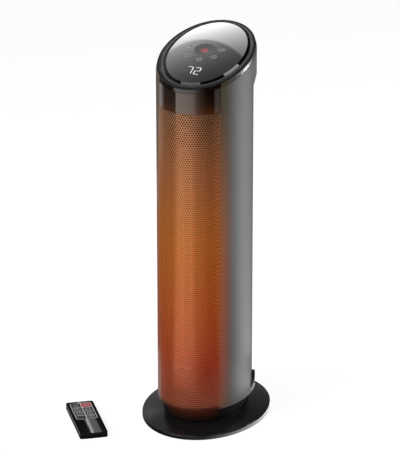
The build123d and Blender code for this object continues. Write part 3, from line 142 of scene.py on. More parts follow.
def finish(name, code, roughness, grain, relief, shade=0.12, uneven=0.08, stretch=(1, 1, 1), **sockets):
    """A finish whose tone, gloss and relief vary over its surface.

    grain is the size of the finest pattern in millimetres and relief its depth. Where the
    real grain is too fine to show, it is drawn as coarse as it needs to be to show. shade is
    how far the tone wanders, and uneven how far the roughness does. stretch draws the
    pattern out along an axis where it is under one, and squeezes it where it is over one.
    Other words go straight to the shader's own sockets.
    """
    material = bpy.data.materials.new(name)
    material.use_nodes = True
    tree = material.node_tree
    surface = surface_of(material)
    for socket, value in sockets.items():
        surface.inputs[socket.replace("_", " ")].default_value = value
    where = add(tree, "ShaderNodeTexCoord").outputs["Object"]
    drawn = add(tree, "ShaderNodeMapping", {"Vector": where, "Scale": stretch})
    cloud, fine = [
        add(tree, "ShaderNodeTexNoise", {"Vector": drawn, "Scale": 1 / (size * MM), "Detail": detail})
        for size, detail in ((CLOUD_SIZE, CLOUD_DETAIL), (grain, GRAIN_DETAIL))
    ]
    both = add(tree, "ShaderNodeMath", {0: cloud, 1: fine}, operation="ADD")
    spread = add(tree, "ShaderNodeMapRange", {"Value": both, "From Min": SUM_LOW, "From Max": SUM_HIGH})
    dark, light = [
        [min(1.0, c * share) for c in srgb(code)[:3]] + [1.0] for share in (1 - shade, 1 + shade)
    ]
    tones = {"Factor": spread, COLOUR_A: dark, COLOUR_B: light}
    feed(material, "Base Color", add(tree, "ShaderNodeMix", tones, data_type="RGBA"))
    if uneven:
        span = {"Value": cloud, "From Min": CLOUD_LOW, "From Max": CLOUD_HIGH}
        span.update({"To Min": roughness - uneven / 2, "To Max": roughness + uneven / 2})
        feed(material, "Roughness", add(tree, "ShaderNodeMapRange", span))
    else:
        surface.inputs["Roughness"].default_value = roughness
    bump = {"Height": fine, "Strength": 1.0, "Distance": relief * MM}
    feed(material, "Normal", add(tree, "ShaderNodeBump", bump))
    return material


# Painted glow: emission standing in for warm light from the heating element, by height in
# millimetres: red below, orange in the middle and fading above
PAINTED_GLOW_TONES = [
    (36, "#000000"),
    (46, "#a03828"),
    (108, "#d32900"),
    (203, "#eb5800"),
    (297, "#eb6e00"),
    (345, "#da6c1e"),
    (392, "#c3602a"),
    (440, "#9c5123"),
    (490, "#593323"),
    (500, "#000000"),
]

# Painted glow tint: how the front's coat colour is deepened by height, for that light, as a share of its
# colour at the top
GLOW_TINT_TONES = [(90, "#edd2cb"), (150, "#f4dab7"), (297, "#f7efb1"), (480, "#ffffff")]

# Painted glow on the trim above the grille, for the element's light coming through it
TRIM_GLOW_TONES = [(499, "#3c1c08"), (512, "#1c0d04"), (530, "#000000")]

# Painted glow on the front of the neck, below the grille, where the element's light would fall
NECK_GLOW_TONES = [
    (15, "#0a0301"),
    (19, "#120401"),
    (22, "#1b0804"),
    (27, "#2b0d03"),
    (30, "#361206"),
    (36, "#46200f"),
]

# Where the painted glow fades, in millimetres from full to none: on the flanks to the side and
# to the rear, on the neck likewise, and on the plain strips beside the grille's holes
FLANK_FADE_ASIDE = (54, 69)
FLANK_FADE_BACK = (-50, -30)
NECK_FADE_ASIDE = (26, 52)
NECK_FADE_BACK = (-60, -30)
STRIP_FADE = (43.5, 46.5)
STRIP_SHARE = 0.5

# How far the flanks' painted glow is shifted to the left, and where the ledge behind the front ends
FLANK_GLOW_SHIFT = 7
LEDGE_REAR = -30


def place_parts(tree):
    """The X, Y and Z of a place on the object."""
    where = add(tree, "ShaderNodeTexCoord").outputs["Object"]
    return add(tree, "ShaderNodeSeparateXYZ", {"Vector": where}).outputs


def by_height(tree, tones):
    """A colour that changes with the height, from tones of (millimetres, colour)."""
    low, high = tones[0][0], tones[-1][0]
    span = {"Value": place_parts(tree)["Z"], "From Min": low * MM, "From Max": high * MM}
    share = add(tree, "ShaderNodeMapRange", span)
    stops = [((z - low) / (high - low), code) for z, code in tones]
    return add(tree, "ShaderNodeValToRGB", {"Fac": share}, stops=stops)


def fading(tree, value, span):
    """One up to the start of a span and nothing past its end, in millimetres."""
    start, end = span
    sockets = {"Value": value, "From Min": start * MM, "From Max": end * MM, "To Min": 1.0, "To Max": 0.0}
    return add(tree, "ShaderNodeMapRange", sockets, interpolation_type="SMOOTHSTEP")


def outside_front(tree):
    """One on the outer faces of the housing, and nothing on the ledge behind its front."""
    parts = place_parts(tree)
    aside = add(tree, "ShaderNodeMath", {0: parts["X"]}, operation="ABSOLUTE")
    clear = add(tree, "ShaderNodeMath", {0: aside, 1: GRILLE_HALF_WIDTH * MM}, operation="GREATER_THAN")
    rear = add(tree, "ShaderNodeMath", {0: parts["Y"], 1: LEDGE_REAR * MM}, operation="GREATER_THAN")
    return add(tree, "ShaderNodeMath", {0: clear, 1: rear}, operation="MAXIMUM")


def beside_front(tree):
    """Where the painted glow spills on the flanks: beside the grille, and less far round on the right."""
    parts = place_parts(tree)
    moved = add(tree, "ShaderNodeMath", {0: parts["X"], 1: FLANK_GLOW_SHIFT * MM}, operation="ADD")
    aside = add(tree, "ShaderNodeMath", {0: moved}, operation="ABSOLUTE")
    aside = fading(tree, aside, FLANK_FADE_ASIDE)
    back = fading(tree, parts["Y"], FLANK_FADE_BACK)
    near = add(tree, "ShaderNodeMath", {0: aside, 1: back}, operation="MULTIPLY")
    return add(tree, "ShaderNodeMath", {0: near, 1: outside_front(tree)}, operation="MULTIPLY")


def below_front(tree):
    """Where the painted glow falls on the neck: on its front, below the grille."""
    parts = place_parts(tree)
    aside = add(tree, "ShaderNodeMath", {0: parts["X"]}, operation="ABSOLUTE")
    aside = fading(tree, aside, NECK_FADE_ASIDE)
    back = fading(tree, parts["Y"], NECK_FADE_BACK)
    return add(tree, "ShaderNodeMath", {0: aside, 1: back}, operation="MULTIPLY")


def across_front(tree):
    """All of the painted glow on the perforated front, and half on the plain strips along its sides."""
    aside = add(tree, "ShaderNodeMath", {0: place_parts(tree)["X"]}, operation="ABSOLUTE")
    shares = {0: fading(tree, aside, STRIP_FADE), 1: 1 - STRIP_SHARE, 2: STRIP_SHARE}
    return add(tree, "ShaderNodeMath", shares, operation="MULTIPLY_ADD")


def paint_glow_on_flanks(material):
    """Paints the glow beside the grille into the paint as a brown tint, and leaves the ledge behind the front
    in bare black plastic, dark also as painted shade behind the holes.
    """
    tree = material.node_tree
    spill = {"Factor": beside_front(tree), COLOUR_A: coat_colour(material), COLOUR_B: srgb("#5b4c36")}
    paint = add(tree, "ShaderNodeMix", spill, data_type="RGBA")
    # Bare black plastic on the ledge, whose black is also painted shade for what the holes show
    outer = {"Factor": outside_front(tree), COLOUR_A: srgb("#0c0c0c"), COLOUR_B: paint}
    feed(material, "Base Color", add(tree, "ShaderNodeMix", outer, data_type="RGBA"))


def deepen(material, tones):
    """Multiplies a finish's colour by tones that change with the height."""
    tree = material.node_tree
    colours = {"Factor": 1.0, COLOUR_A: coat_colour(material), COLOUR_B: by_height(tree, tones)}
    deeper = add(tree, "ShaderNodeMix", colours, data_type="RGBA", blend_type="MULTIPLY")
    feed(material, "Base Color", deeper)


def paint_glow(material, strength, tones=PAINTED_GLOW_TONES, shown=None):
    """Paints the element's glow into a finish as emission, by height and by where it is shown."""
    tree = material.node_tree
    tone = by_height(tree, tones)
    if shown:
        shares = {"Factor": shown(tree), COLOUR_A: BLACK, COLOUR_B: tone}
        tone = add(tree, "ShaderNodeMix", shares, data_type="RGBA")
    feed(material, "Emission Color", tone)
    surface_of(material).inputs["Emission Strength"].default_value = strength


def dress(material, *names):
    """Gives CAD nodes one finish in all their slots."""
    for name in names:
        for slot in NODES[name].material_slots:
            slot.material = material


# Sprayed satin paint on ABS: dark grey that turns pale towards the light, with the soft
# ripple of orange peel. Beside the grille the warm light is painted in, as a brown tint and a faint glow
body_paint = finish("satin paint, sprayed ABS", "#575655", 0.28, 2.4, 0.0015, shade=0.03, uneven=0.01)
paint_glow_on_flanks(body_paint)
paint_glow(body_paint, 0.22, shown=beside_front)
dress(body_paint, "front_housing", "rear_housing")

# Moulded ABS with a fine spark texture: near black, it only shines at a low angle
base_plastic = finish("spark-textured ABS, moulded", "#151515", 0.22, 1.6, 0.008, shade=0.10, uneven=0.05)
dress(base_plastic, "base_cover")

# The neck, in the body's shadow: dull and near black, with a faint red painted glow on its front
neck_plastic = finish(
    "ABS, moulded dull neck", "#060505", 0.55, 1.6, 0.010, shade=0.10, uneven=0.05, Specular_IOR_Level=0.1
)
paint_glow(neck_plastic, 1.0, NECK_GLOW_TONES, below_front)
dress(neck_plastic, "turntable")

# Polished ABS tinted bronze: deep brown-black with sharp reflections, and a painted glow near its lower edge
band_gloss = finish("bronze-tinted ABS, polished", "#180c06", 0.05, 6.0, 0.0005, shade=0.10, uneven=0.02)
paint_glow(band_gloss, 1.0, TRIM_GLOW_TONES)
dress(band_gloss, "front_band")

# Charcoal ring round the panel, moulded satin: dark, with a narrow soft sheen
ring_plastic = finish(
    "charcoal ABS, moulded satin", "#121212", 0.20, 1.6, 0.001, shade=0.06, uneven=0.04,
    Specular_IOR_Level=0.08
)
dress(ring_plastic, "bezel_ring")

# Smoked acrylic, printed black on its back and polished on its face: a black mirror
panel_acrylic = finish("smoked acrylic, polished", "#060607", 0.02, 8.0, 0.0002, shade=0.10, uneven=0.01)
dress(panel_acrylic, "panel_lens")

# The key, moulded satin: its dish spreads the light into a soft grey without clear images
key_satin = finish("grey ABS, satin dished key", "#505052", 0.42, 2.0, 0.001, shade=0.04, uneven=0.03)
dress(key_satin, "power_button")

# The remote's polished upper case: black, with clear edges in what it mirrors
remote_gloss = finish(
    "black ABS, polished case", "#0a0a0a", 0.04, 6.0, 0.0003, shade=0.12, uneven=0.02, Specular_IOR_Level=0.3
)
dress(remote_gloss, "remote_upper")

# Its lower case and battery tray, left as moulded: dark and dull along the edge
remote_plain = finish("black ABS, moulded case", "#0c0c0c", 0.35, 1.2, 0.010, Specular_IOR_Level=0.12)
dress(remote_plain, "remote_lower", "battery_tray")

# The film over the remote's keys: even dark grey with the soft sheen of polyester
film_print = finish("polyester film, printed dark grey", "#1c1c1c", 0.30, 0.9, 0.004, shade=0.08)
dress(film_print, "key_film")

# Tinted polycarbonate: so deep a red that it looks black and glossy
window_tint = finish("infrared window, dark red polycarbonate", "#1a0508", 0.08, 5.0, 0.0005)
dress(window_tint, "ir_window")

# The pieces inside follow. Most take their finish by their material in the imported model

# Moulded polypropylene: dark grey with a slightly waxy, dull face
polypropylene =finish("polypropylene, moulded", "#1b1b1c", 0.45, 1.4, 0.010)

# Acetal, as gears are moulded from: cream white with a soft sheen
acetal = finish("acetal, moulded", "#d8d4c8", 0.42, 1.8, 0.006, shade=0.04)

# Glass-filled nylon: near black and dull, faintly mottled by its fibres
nylon = finish("glass-filled nylon, moulded", "#1e1f21", 0.50, 0.8, 0.012)

# Circuit board under solder mask: deep green, uneven in tone
laminate = finish("glass-epoxy board, solder masked", "#14381f", 0.42, 1.5, 0.010, shade=0.25)

# Zinc-plated steel: bright cool grey with faint level bands
plated_steel = finish("steel, zinc plated", "#c3c6c6", 0.30, 1.0, 0.004, stretch=(1, 1, 4), Metallic=1.0)

# Laminated motor iron: grey, ruled with the level lines of its sheets
stacked_iron = finish(
    "electrical steel, stacked laminations", "#6f7173", 0.42, 0.5, 0.030, stretch=(0.02, 0.02, 1),
    Metallic=1.0
)

# Rolled aluminium of the fins and the wheel: dull and browned by the heat
fin_foil = finish("aluminium, rolled fins", "#5c5048", 0.60, 1.2, 0.006, stretch=(1, 1, 0.2), Metallic=0.6)

# Sintered bronze of the bearings: matt yellow-brown with open pores
sintered_bronze = finish("bronze, sintered", "#9a6a3a", 0.46, 0.6, 0.020, Metallic=1.0)

# Moulded rubber: black, with hardly any shine
feet_rubber = finish("rubber, moulded feet", "#1a1a1a", 0.75, 0.9, 0.020)

# Fired ceramic: dark brown-grey and chalky
stone_ceramic = finish("barium titanate, fired stones", "#2e2925", 0.75, 0.7, 0.012)

# The element's frame, of a resin that stands heat: brown-black and dull
frame_resin = finish("PPS resin, moulded frame", "#1a1613", 0.55, 1.0, 0.012)

# Stainless strip that has been hot: its shine gone to brown
hot_steel = finish("stainless strip, browned by heat", "#3a2c22", 0.60, 1.2, 0.006, Metallic=0.5)
dress(hot_steel, "electrode_strips", "thermal_cutout")

# Black passivated steel: dark blue-grey with little shine
dark_steel = finish("steel, black passivated", "#26272a", 0.50, 1.0, 0.006)
dress(dark_steel, "motor_bridges", "motor_screws", "swing_motor", "case_screws", "board_screws")
dress(nylon, "terminal_block")

# Painted glow: the pieces round the element take a little of its light as emission
INNER_GLOW = 0.035
for material in (polypropylene, fin_foil, stone_ceramic, frame_resin, hot_steel):
    paint_glow(material, INNER_GLOW)

by_slot = {
    "inner_plastic": polypropylene,
    "nylon": acetal,
    "black_plastic": nylon,
    "circuit_board": laminate,
    "zinc_steel": plated_steel,
    "motor_iron": stacked_iron,
    "fin_aluminium": fin_foil,
    "bronze_bush": sintered_bronze,
    "rubber": feet_rubber,
    "heater_ceramic": stone_ceramic,
    "frame_resin": frame_resin,
}
for node in NODES.values():
    for slot in node.material_slots:
        if slot.material and slot.material.name in by_slot:
            slot.material = by_slot[slot.material.name]


def new_piece(name, points, faces, crease=None):
    """An object from points and faces, smooth where it bends by less than the crease, in degrees."""
    mesh = bpy.data.meshes.new(name)
    mesh.from_pydata(points, [], faces)
    mesh.validate()
    if crease:
        mesh.shade_smooth()
        mesh.set_sharp_from_angle(angle=math.radians(crease))
    made = bpy.data.objects.new(name, mesh)
    bpy.context.scene.collection.objects.link(made)
    return made


# The perforated front
HOLE_PITCH = 3.85
ROW_PITCH = 3.3
HOLE_RADIUS = 1.50
SHEET_THICKNESS = 0.7
SIDE_MARGIN = 0.4
TOP_MARGIN = 0.1
BOTTOM_MARGIN = 3.4
SHEET_CREASE = 40

# Rows and columns without holes that carry the pattern past the sheet's edges, where it is cut
PLAIN_CELLS = 2

# How finely the oval is measured, and lengths that count as nothing, in millimetres
OVAL_STEPS = 400
HAIR = 0.01
TINY = 1e-9

# The order of the sheet's finishes
GRILLE_COAT, SHADED_HEM, SHADED_HOLE_WALLS = 0, 1, 2


def oval_table():
    """Arc length along the body's oval, from the middle of the front, for evenly spaced angles."""
    rows = [0.0]
    for i in range(OVAL_STEPS):
        mid = (i + 0.5) / OVAL_STEPS
        speed = math.hypot(BODY_HALF_WIDTH * math.cos(mid), BODY_HALF_DEPTH * math.sin(mid))
        rows.append(rows[-1] + speed / OVAL_STEPS)
    return rows


OVAL = oval_table()


def oval_angle(s):
    """The oval's angle at arc length s, with the same sign."""
    reach, low, high = abs(s), 0, OVAL_STEPS
    while high - low > 1:
        mid = (low + high) // 2
        low, high = (mid, high) if OVAL[mid] <= reach else (low, mid)
    share = (reach - OVAL[low]) / (OVAL[high] - OVAL[low])
    return math.copysign((low + share) / OVAL_STEPS, s)


def oval_length(angle):
    """The arc length at an angle of the oval."""
    step = int(angle * OVAL_STEPS)
    return OVAL[step] + (OVAL[step + 1] - OVAL[step]) * (angle * OVAL_STEPS - step)


def on_sheet(s, z, inward):
    """A place on the front sheet, s along its curve and z up, set in from the outer face."""
    a = oval_angle(s)
    out = Vector((math.sin(a) / BODY_HALF_WIDTH, -math.cos(a) / BODY_HALF_DEPTH, 0)).normalized()
    place = Vector((BODY_HALF_WIDTH * math.sin(a), -BODY_HALF_DEPTH * math.cos(a), z))
    return (place - out * inward) * MM


def clipped(points, half_run):
    """A convex outline cut back to the sheet's edges."""
    edges = ((0, -1, half_run), (0, 1, half_run), (1, -1, -GRILLE_BOTTOM), (1, 1, GRILLE_TOP))
    for axis, way, limit in edges:
        kept = []
        for i, here in enumerate(points):
            there = points[(i + 1) % len(points)]
            over_here, over_there = way * here[axis] - limit, way * there[axis] - limit
            if over_here <= TINY:
                kept.append(here)
            if (over_here <= TINY) != (over_there <= TINY):
                t = over_here / (over_here - over_there)
                kept.append((here[0] + (there[0] - here[0]) * t, here[1] + (there[1] - here[1]) * t))
        points = kept
    return points if len(points) > 2 else []


def hole_cell(pitch):
    """The six-sided cell of sheet round a hole: its corners with the middles of its sides, and its reach."""
    half = HOLE_PITCH / 2
    low = (pitch**2 - half**2) / (2 * pitch)
    tip = pitch - low
    corners = [(half, low), (0, tip), (-half, low), (-half, -low), (0, -tip), (half, -low)]
    cell = []
    for (x0, y0), (x1, y1) in zip(corners, corners[1:] + corners[:1]):
        cell += [(x0, y0), ((x0 + x1) / 2, (y0 + y1) / 2)]
    return cell, tip


def perforated_front():
    """The front sheet: a staggered pattern of round holes, with narrow plain margins."""
    half_run = oval_length(math.asin(GRILLE_HALF_WIDTH / BODY_HALF_WIDTH))
    first_row = GRILLE_BOTTOM + BOTTOM_MARGIN + HOLE_RADIUS
    last_row = GRILLE_TOP - TOP_MARGIN - HOLE_RADIUS
    rows = round((last_row - first_row) / ROW_PITCH) + 1
    pitch = (last_row - first_row) / (rows - 1)
    cell, tip = hole_cell(pitch)
    side_columns = int(half_run / HOLE_PITCH) + PLAIN_CELLS
    flat, index, faces = [], {}, []

    def corner_at(s, z):
        """The number of a corner, which cells share where they meet to the micrometre."""
        key = (round(s, 3), round(z, 3))
        if key not in index:
            index[key] = len(flat)
            flat.append((s, z))
        return index[key]

    for row in range(-PLAIN_CELLS, rows + PLAIN_CELLS):
        z = first_row + row * pitch
        for column in range(-side_columns, side_columns + 1):
            s = (column + (row % 2) / 2) * HOLE_PITCH
            outline = [(s + x, z + y) for x, y in cell]
            if 0 <= row < rows and abs(s) + HOLE_RADIUS + SIDE_MARGIN <= half_run:
                outer = [
                    corner_at(min(max(x, -half_run), half_run), min(max(y, GRILLE_BOTTOM), GRILLE_TOP))
                    for x, y in outline
                ]
                inner = []
                for x, y in cell:
                    reach = HOLE_RADIUS / math.hypot(x, y)
                    inner.append(len(flat))
                    flat.append((s + x * reach, z + y * reach))
                for i in range(len(cell)):
                    j = (i + 1) % len(cell)
                    if outer[i] == outer[j]:
                        faces.append((outer[i], inner[j], inner[i]))
                    else:
                        faces.append((outer[i], outer[j], inner[j], inner[i]))
            else:
                keyed = []
                for x, y in clipped(outline, half_run):
                    place = corner_at(x, y)
                    if place not in keyed:
                        keyed.append(place)
                if len(keyed) > 2:
                    faces.append(tuple(keyed))
    used = {(face[i], face[(i + 1) % len(face)]) for face in faces for i in range(len(face))}
    rims = [(b, a) for a, b in used if (b, a) not in used]
    count = len(flat)
    points = [on_sheet(s, z, depth) for depth in (0.0, SHEET_THICKNESS) for s, z in flat]
    faces += [tuple(i + count for i in reversed(face)) for face in faces]
    faces += [(a, b, b + count, a + count) for a, b in sorted(rims)]
    sheet = new_piece("perforated_front", points, faces, SHEET_CREASE)
    hem = (first_row - pitch + tip + HAIR) * MM
    for polygon in sheet.data.polygons:
        inside = any(i >= count for i in polygon.vertices)
        low = all(sheet.data.vertices[i].co.z < hem for i in polygon.vertices)
        polygon.material_index = SHADED_HOLE_WALLS if inside else SHADED_HEM if low else GRILLE_COAT
    return sheet


front_sheet = perforated_front()
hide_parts("front_grille")
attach(front_sheet, "tower")

# Bronze powder coat on perforated steel: brown, with the element's orange light painted in as a glow and a
# deeper tint
grille_coat = finish(
    "bronze powder coat, perforated steel", "#aa7852", 0.24, 1.2, 0.003, shade=0.04, uneven=0.0,
    Metallic=0.25, Specular_IOR_Level=0.3
)
deepen(grille_coat, GLOW_TINT_TONES)
paint_glow(grille_coat, 0.51, shown=across_front)

# The same coat on the hem below the last holes, darkened to a dull red-brown as painted shade
hem_painted_shade = finish("bronze powder coat, hem in shade", "#4a1c0e", 0.40, 1.2, 0.004, Specular_IOR_Level=0.12)

# The same coat on the holes' walls and the sheet's back, darkened as painted shade so that each hole stands
# out
hole_walls_painted_shade = finish("bronze powder coat, walls of the holes", "#2a140a", 0.40, 1.2, 0.003)
for coat in (grille_coat, hem_painted_shade, hole_walls_painted_shade):
    front_sheet.data.materials.append(coat)

# The bezel's moulded rim, in charcoal ABS a shade paler than its ring: a soft grey line.
# Its section is (inset from the body's oval, height over the head)
RIM_SECTION = [(1.6, 1.2), (1.8, 1.24), (4.6, 1.74), (5.3, 1.85), (6.0, 1.8), (6.4, 1.55), (6.6, 1.2)]
RIM_STEPS = 144
RIM_CREASE = 25
rim_plastic = finish(
    "charcoal ABS, moulded rim", "#1e1e1e", 0.30, 1.6, 0.001, shade=0.06, uneven=0.02, Specular_IOR_Level=0.12
)


def bezel_rim():
    """A low moulded rim on the bezel ring: an outer slope that rises to a rounded crest."""
    head_half_depth = BODY_HALF_DEPTH / math.cos(math.radians(HEAD_TILT))
    points, faces, n = [], [], len(RIM_SECTION)
    for i in range(RIM_STEPS):
        a = 2 * math.pi * i / RIM_STEPS
        for inset, z in RIM_SECTION:
            shift = PANEL_SHIFT * (inset - SHOULDER_INSET) / (BEZEL_INNER_INSET - SHOULDER_INSET)
            x = (BODY_HALF_WIDTH - inset) * math.cos(a)
            y = (head_half_depth - inset) * math.sin(a) + shift
            points.append(HEAD @ (Vector((x, y, z)) * MM))
    for i in range(RIM_STEPS):
        for k in range(n):
            here, there = i * n, (i + 1) % RIM_STEPS * n
            faces.append((here + k, there + k, there + (k + 1) % n, here + (k + 1) % n))
    made = new_piece("bezel_rim", points, faces, RIM_CREASE)
    made.data.materials.append(rim_plastic)
    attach(made, "tower")


bezel_rim()

# Printed marks: degrees to each step of an arc, how far a line's pieces overlap as a share
# of half its width, and the widths of the lines in millimetres
ARC_STEP = 12
LINE_OVERLAP = 0.4
PANEL_LINE = 1.35
POWER_LINE = 1.5
DIGIT_LINE = 1.25
CELL_EDGE_LINE = 0.8
CELL_ROW_LINE = 1.1
CELL_MIDDLE_LINE = 1.3
KEY_LINE = 0.8


def arc(x, y, radius, start=0.0, sweep=360.0):
    """Points round a circle or an arc, in degrees."""
    steps = max(6, int(abs(sweep) / ARC_STEP))
    angles = [math.radians(start + sweep * i / steps) for i in range(steps + 1)]
    return [(x + radius * math.cos(a), y + radius * math.sin(a)) for a in angles]


def inked(runs, width):
    """Runs of points, all drawn with a line of one width."""
    return [(run, width) for run in runs]


def print_marks(name, place, height, material, body, lines=(), patches=(), proud=0.05, drop=None):
    """Thin raised ink: lines are (points, width) and patches are outlines, in millimetres."""
    points, faces = [], []

    def slab(outline):
        """One patch of ink, with a top and sides."""
        first, n = len(points), len(outline)
        for extra in (proud, 0.0):
            for x, y in outline:
                level = height - (drop(x, y) if drop else 0.0) + extra
                points.append(place @ (Vector((x, y, level)) * MM))
        faces.append(tuple(range(first, first + n)))
        for i in range(n):
            j = (i + 1) % n
            faces.append((first + i, first + n + i, first + n + j, first + j))

    for run, width in lines:
        for (x0, y0), (x1, y1) in zip(run, run[1:]):
            way = math.hypot(x1 - x0, y1 - y0)
            dx, dy = (x1 - x0) / way * width / 2, (y1 - y0) / way * width / 2
            ex, ey = dx * LINE_OVERLAP, dy * LINE_OVERLAP
            slab(
                [
                    (x0 + dy - ex, y0 - dx - ey),
                    (x1 + dy + ex, y1 - dx + ey),
                    (x1 - dy + ex, y1 + dx + ey),
                    (x0 - dy - ex, y0 + dx - ey),
                ]
            )
    for outline in patches:
        slab(outline)
    made = new_piece(name, points, faces)
    made.data.materials.append(material)
    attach(made, body)


# Screen-printed inks: flat, opaque and with little shine, pale grey and red on the panel,
# and a softer red and near white on the remote's film
pale_ink = finish("pale grey ink, screen printed", "#a3a5a7", 0.45, 0.8, 0.003)
red_ink = finish("red ink, screen printed", "#d8323a", 0.45, 0.8, 0.003)
film_red = finish("red ink, printed key", "#c93f49", 0.40, 0.8, 0.003)
film_line = finish("light ink, printed lines", "#e4e6e7", 0.45, 0.8, 0.003)

# Display segments: white light that stays just under the paper's white
lit_white = finish("white light, display segments", "#c8ccce", 0.30, 0.8, 0.001)
surface_of(lit_white).inputs["Emission Color"].default_value = srgb("#f4f8fa")
surface_of(lit_white).inputs["Emission Strength"].default_value = 0.35


def fan(x, y, size):
    """A fan mark: a circle with three curved blades."""
    runs = [arc(x, y, size)]
    blade = size * 0.32
    for i in range(3):
        turn = 90 + 120 * i
        a = math.radians(turn)
        runs.append(arc(x + blade * math.cos(a), y + blade * math.sin(a), blade, turn - 150, 220))
    return runs


def clock(x, y, size):
    """A timer mark: a circle with two hands."""
    return [arc(x, y, size), [(x, y + size * 0.6), (x, y), (x + size * 0.45, y - size * 0.1)]]


def sun(x, y, size):
    """A warmth mark: a small circle with rays."""
    runs = [arc(x, y, size * 0.5)]
    for i in range(8):
        a = math.radians(45 * i)
        ends = (size * 0.72, size)
        runs.append([(x + reach * math.cos(a), y + reach * math.sin(a)) for reach in ends])
    return runs


def to_and_fro(x, y, size):
    """An oscillation mark: an arrow bent over a bar."""
    return [
        arc(x, y - size * 0.2, size * 0.8, 20, 140),
        [
            (x + size * 0.35, y + size * 0.35),
            (x + size * 0.8, y + size * 0.1),
            (x + size * 0.85, y + size * 0.65),
        ],
        [(x - size * 0.9, y - size * 0.8), (x + size * 0.7, y - size * 0.8)],
    ]


def power(x, y, size):
    """A power mark: an open circle with a stroke."""
    return [arc(x, y, size, 120, 300), [(x, y + size * 1.15), (x, y + size * 0.1)]]


# The marks round the key, each with its x and y on the sloping head and its size
panel_marks = fan(19.7, 12.6, 4.6) + clock(14.0, -8.4, 4.3) + sun(-4.3, -18.9, 4.4)
panel_marks += to_and_fro(-25.0, -10.1, 4.3) + to_and_fro(-29.0, 13.3, 3.0)
print_marks(
    "panel_icons", HEAD, PANEL_THICKNESS, pale_ink, "tower", inked(panel_marks, PANEL_LINE)
)

DISH_RADIUS = (DISH_EDGE**2 + BUTTON_DISH**2) / (2 * BUTTON_DISH)


def dish_drop(x, y):
    """How far the dished key lies below its rim."""
    away = (x - BUTTON_X) ** 2 + (y - BUTTON_Y) ** 2
    return BUTTON_DISH - (DISH_RADIUS - math.sqrt(DISH_RADIUS**2 - away))


power_runs = inked(power(BUTTON_X, BUTTON_Y - 0.5, 4.3), POWER_LINE)
print_marks("power_mark", HEAD, PANEL_THICKNESS, red_ink, "button", power_runs, drop=dish_drop)

DIGIT_HEIGHT = 17.6
DIGIT_LEAN = -0.05


def digit(x, y, width, bars):
    """One lit figure, x and y its upper left corner. Each bar is (x0, y0, x1, y1) in its box."""
    runs = []
    for u0, v0, u1, v1 in bars:
        ends = ((u0, v0), (u1, v1))
        runs.append([(x + u * width - v * DIGIT_HEIGHT * DIGIT_LEAN, y - v * DIGIT_HEIGHT) for u, v in ends])
    return runs


seven = [(0, 0, 1, 0), (1, 0, 1, 0.47), (1, 0.53, 1, 1)]
two = [(0, 0, 1, 0), (1, 0, 1, 0.47), (0, 0.5, 1, 0.5), (0, 0.53, 0, 1), (0, 1, 1, 1)]
figures = inked(digit(-12.8, -40.4, 7.4, seven) + digit(-0.8, -40.8, 7.2, two), DIGIT_LINE)
print_marks("display_figures", HEAD, PANEL_THICKNESS, lit_white, "tower", figures)

# The remote's film: two columns of four cells inside an edge with a round lower end
FILM_MARGIN = 0.8
FILM_SIDE_MARGIN = 0.6
FILM_END_CORNER = 3.4
FILM_END_BOW = 1.6
cell_edges = [FILM_HIGH - FILM_MARGIN, 36.0, 21.5, 7.0, FILM_LOW + FILM_MARGIN]
film_edge = FILM_HALF_WIDTH - FILM_SIDE_MARGIN
sides = [
    (-film_edge, FILM_LOW + FILM_END_CORNER),
    (-film_edge, FILM_HIGH - FILM_MARGIN),
    (film_edge, FILM_HIGH - FILM_MARGIN),
    (film_edge, FILM_LOW + FILM_END_CORNER),
]
bow = [(film_edge * u, cell_edges[4] + FILM_END_BOW * u * u) for u in (-0.9, -0.6, -0.3, 0, 0.3, 0.6, 0.9)]
cell_lines = inked([sides, [sides[0]] + bow + [sides[3]]], CELL_EDGE_LINE)
cell_lines += inked([[(0, cell_edges[4]), (0, cell_edges[0])]], CELL_MIDDLE_LINE)
cell_lines += inked([[(-film_edge, y), (film_edge, y)] for y in cell_edges[1:4]], CELL_ROW_LINE)
print_marks("film_lines", REMOTE, REMOTE_HEIGHT, film_line, "remote", cell_lines, proud=0.04)

# The red key, the upper right one, is printed inside its cell's lines
RED_GAP = 0.3
RED_MIDDLE_GAP = 0.5
red_cell = [
    (RED_MIDDLE_GAP, cell_edges[1] + RED_GAP),
    (film_edge - RED_GAP, cell_edges[1] + RED_GAP),
    (film_edge - RED_GAP, cell_edges[0] - RED_GAP),
    (RED_MIDDLE_GAP, cell_edges[0] - RED_GAP),
]
print_marks(
    "film_red_key", REMOTE, REMOTE_HEIGHT, film_red, "remote", patches=[red_cell], proud=0.02
)

# The keys' marks. All have a circle but the swing key's, at the upper left, and the timer's
# brings its own. The lower left cell has no mark
KEY_CIRCLE = 4.3
top, upper, lower, bottom = [(cell_edges[i] + cell_edges[i + 1]) / 2 for i in range(4)]
left, right = -film_edge / 2, film_edge / 2
key_marks = to_and_fro(left, top, 4.4) + power(right, top, 2.2) + clock(left, upper, KEY_CIRCLE)
key_marks += fan(right, upper, 2.6) + [[(x - 2, lower), (x + 2, lower)] for x in (left, right)]
key_marks += [[(right, lower - 2), (right, lower + 2)], arc(right + 0.6, bottom, 2.4, 60, 240)]
key_marks += [arc(right + 1.6, bottom + 0.2, 2.2, 80, 190)]
circled = ((right, top), (right, upper), (left, lower), (right, lower), (right, bottom))
key_marks += [arc(x, y, KEY_CIRCLE) for x, y in circled]
print_marks(
    "film_icons", REMOTE, REMOTE_HEIGHT, film_line, "remote", inked(key_marks, KEY_LINE),
    proud=0.06
)


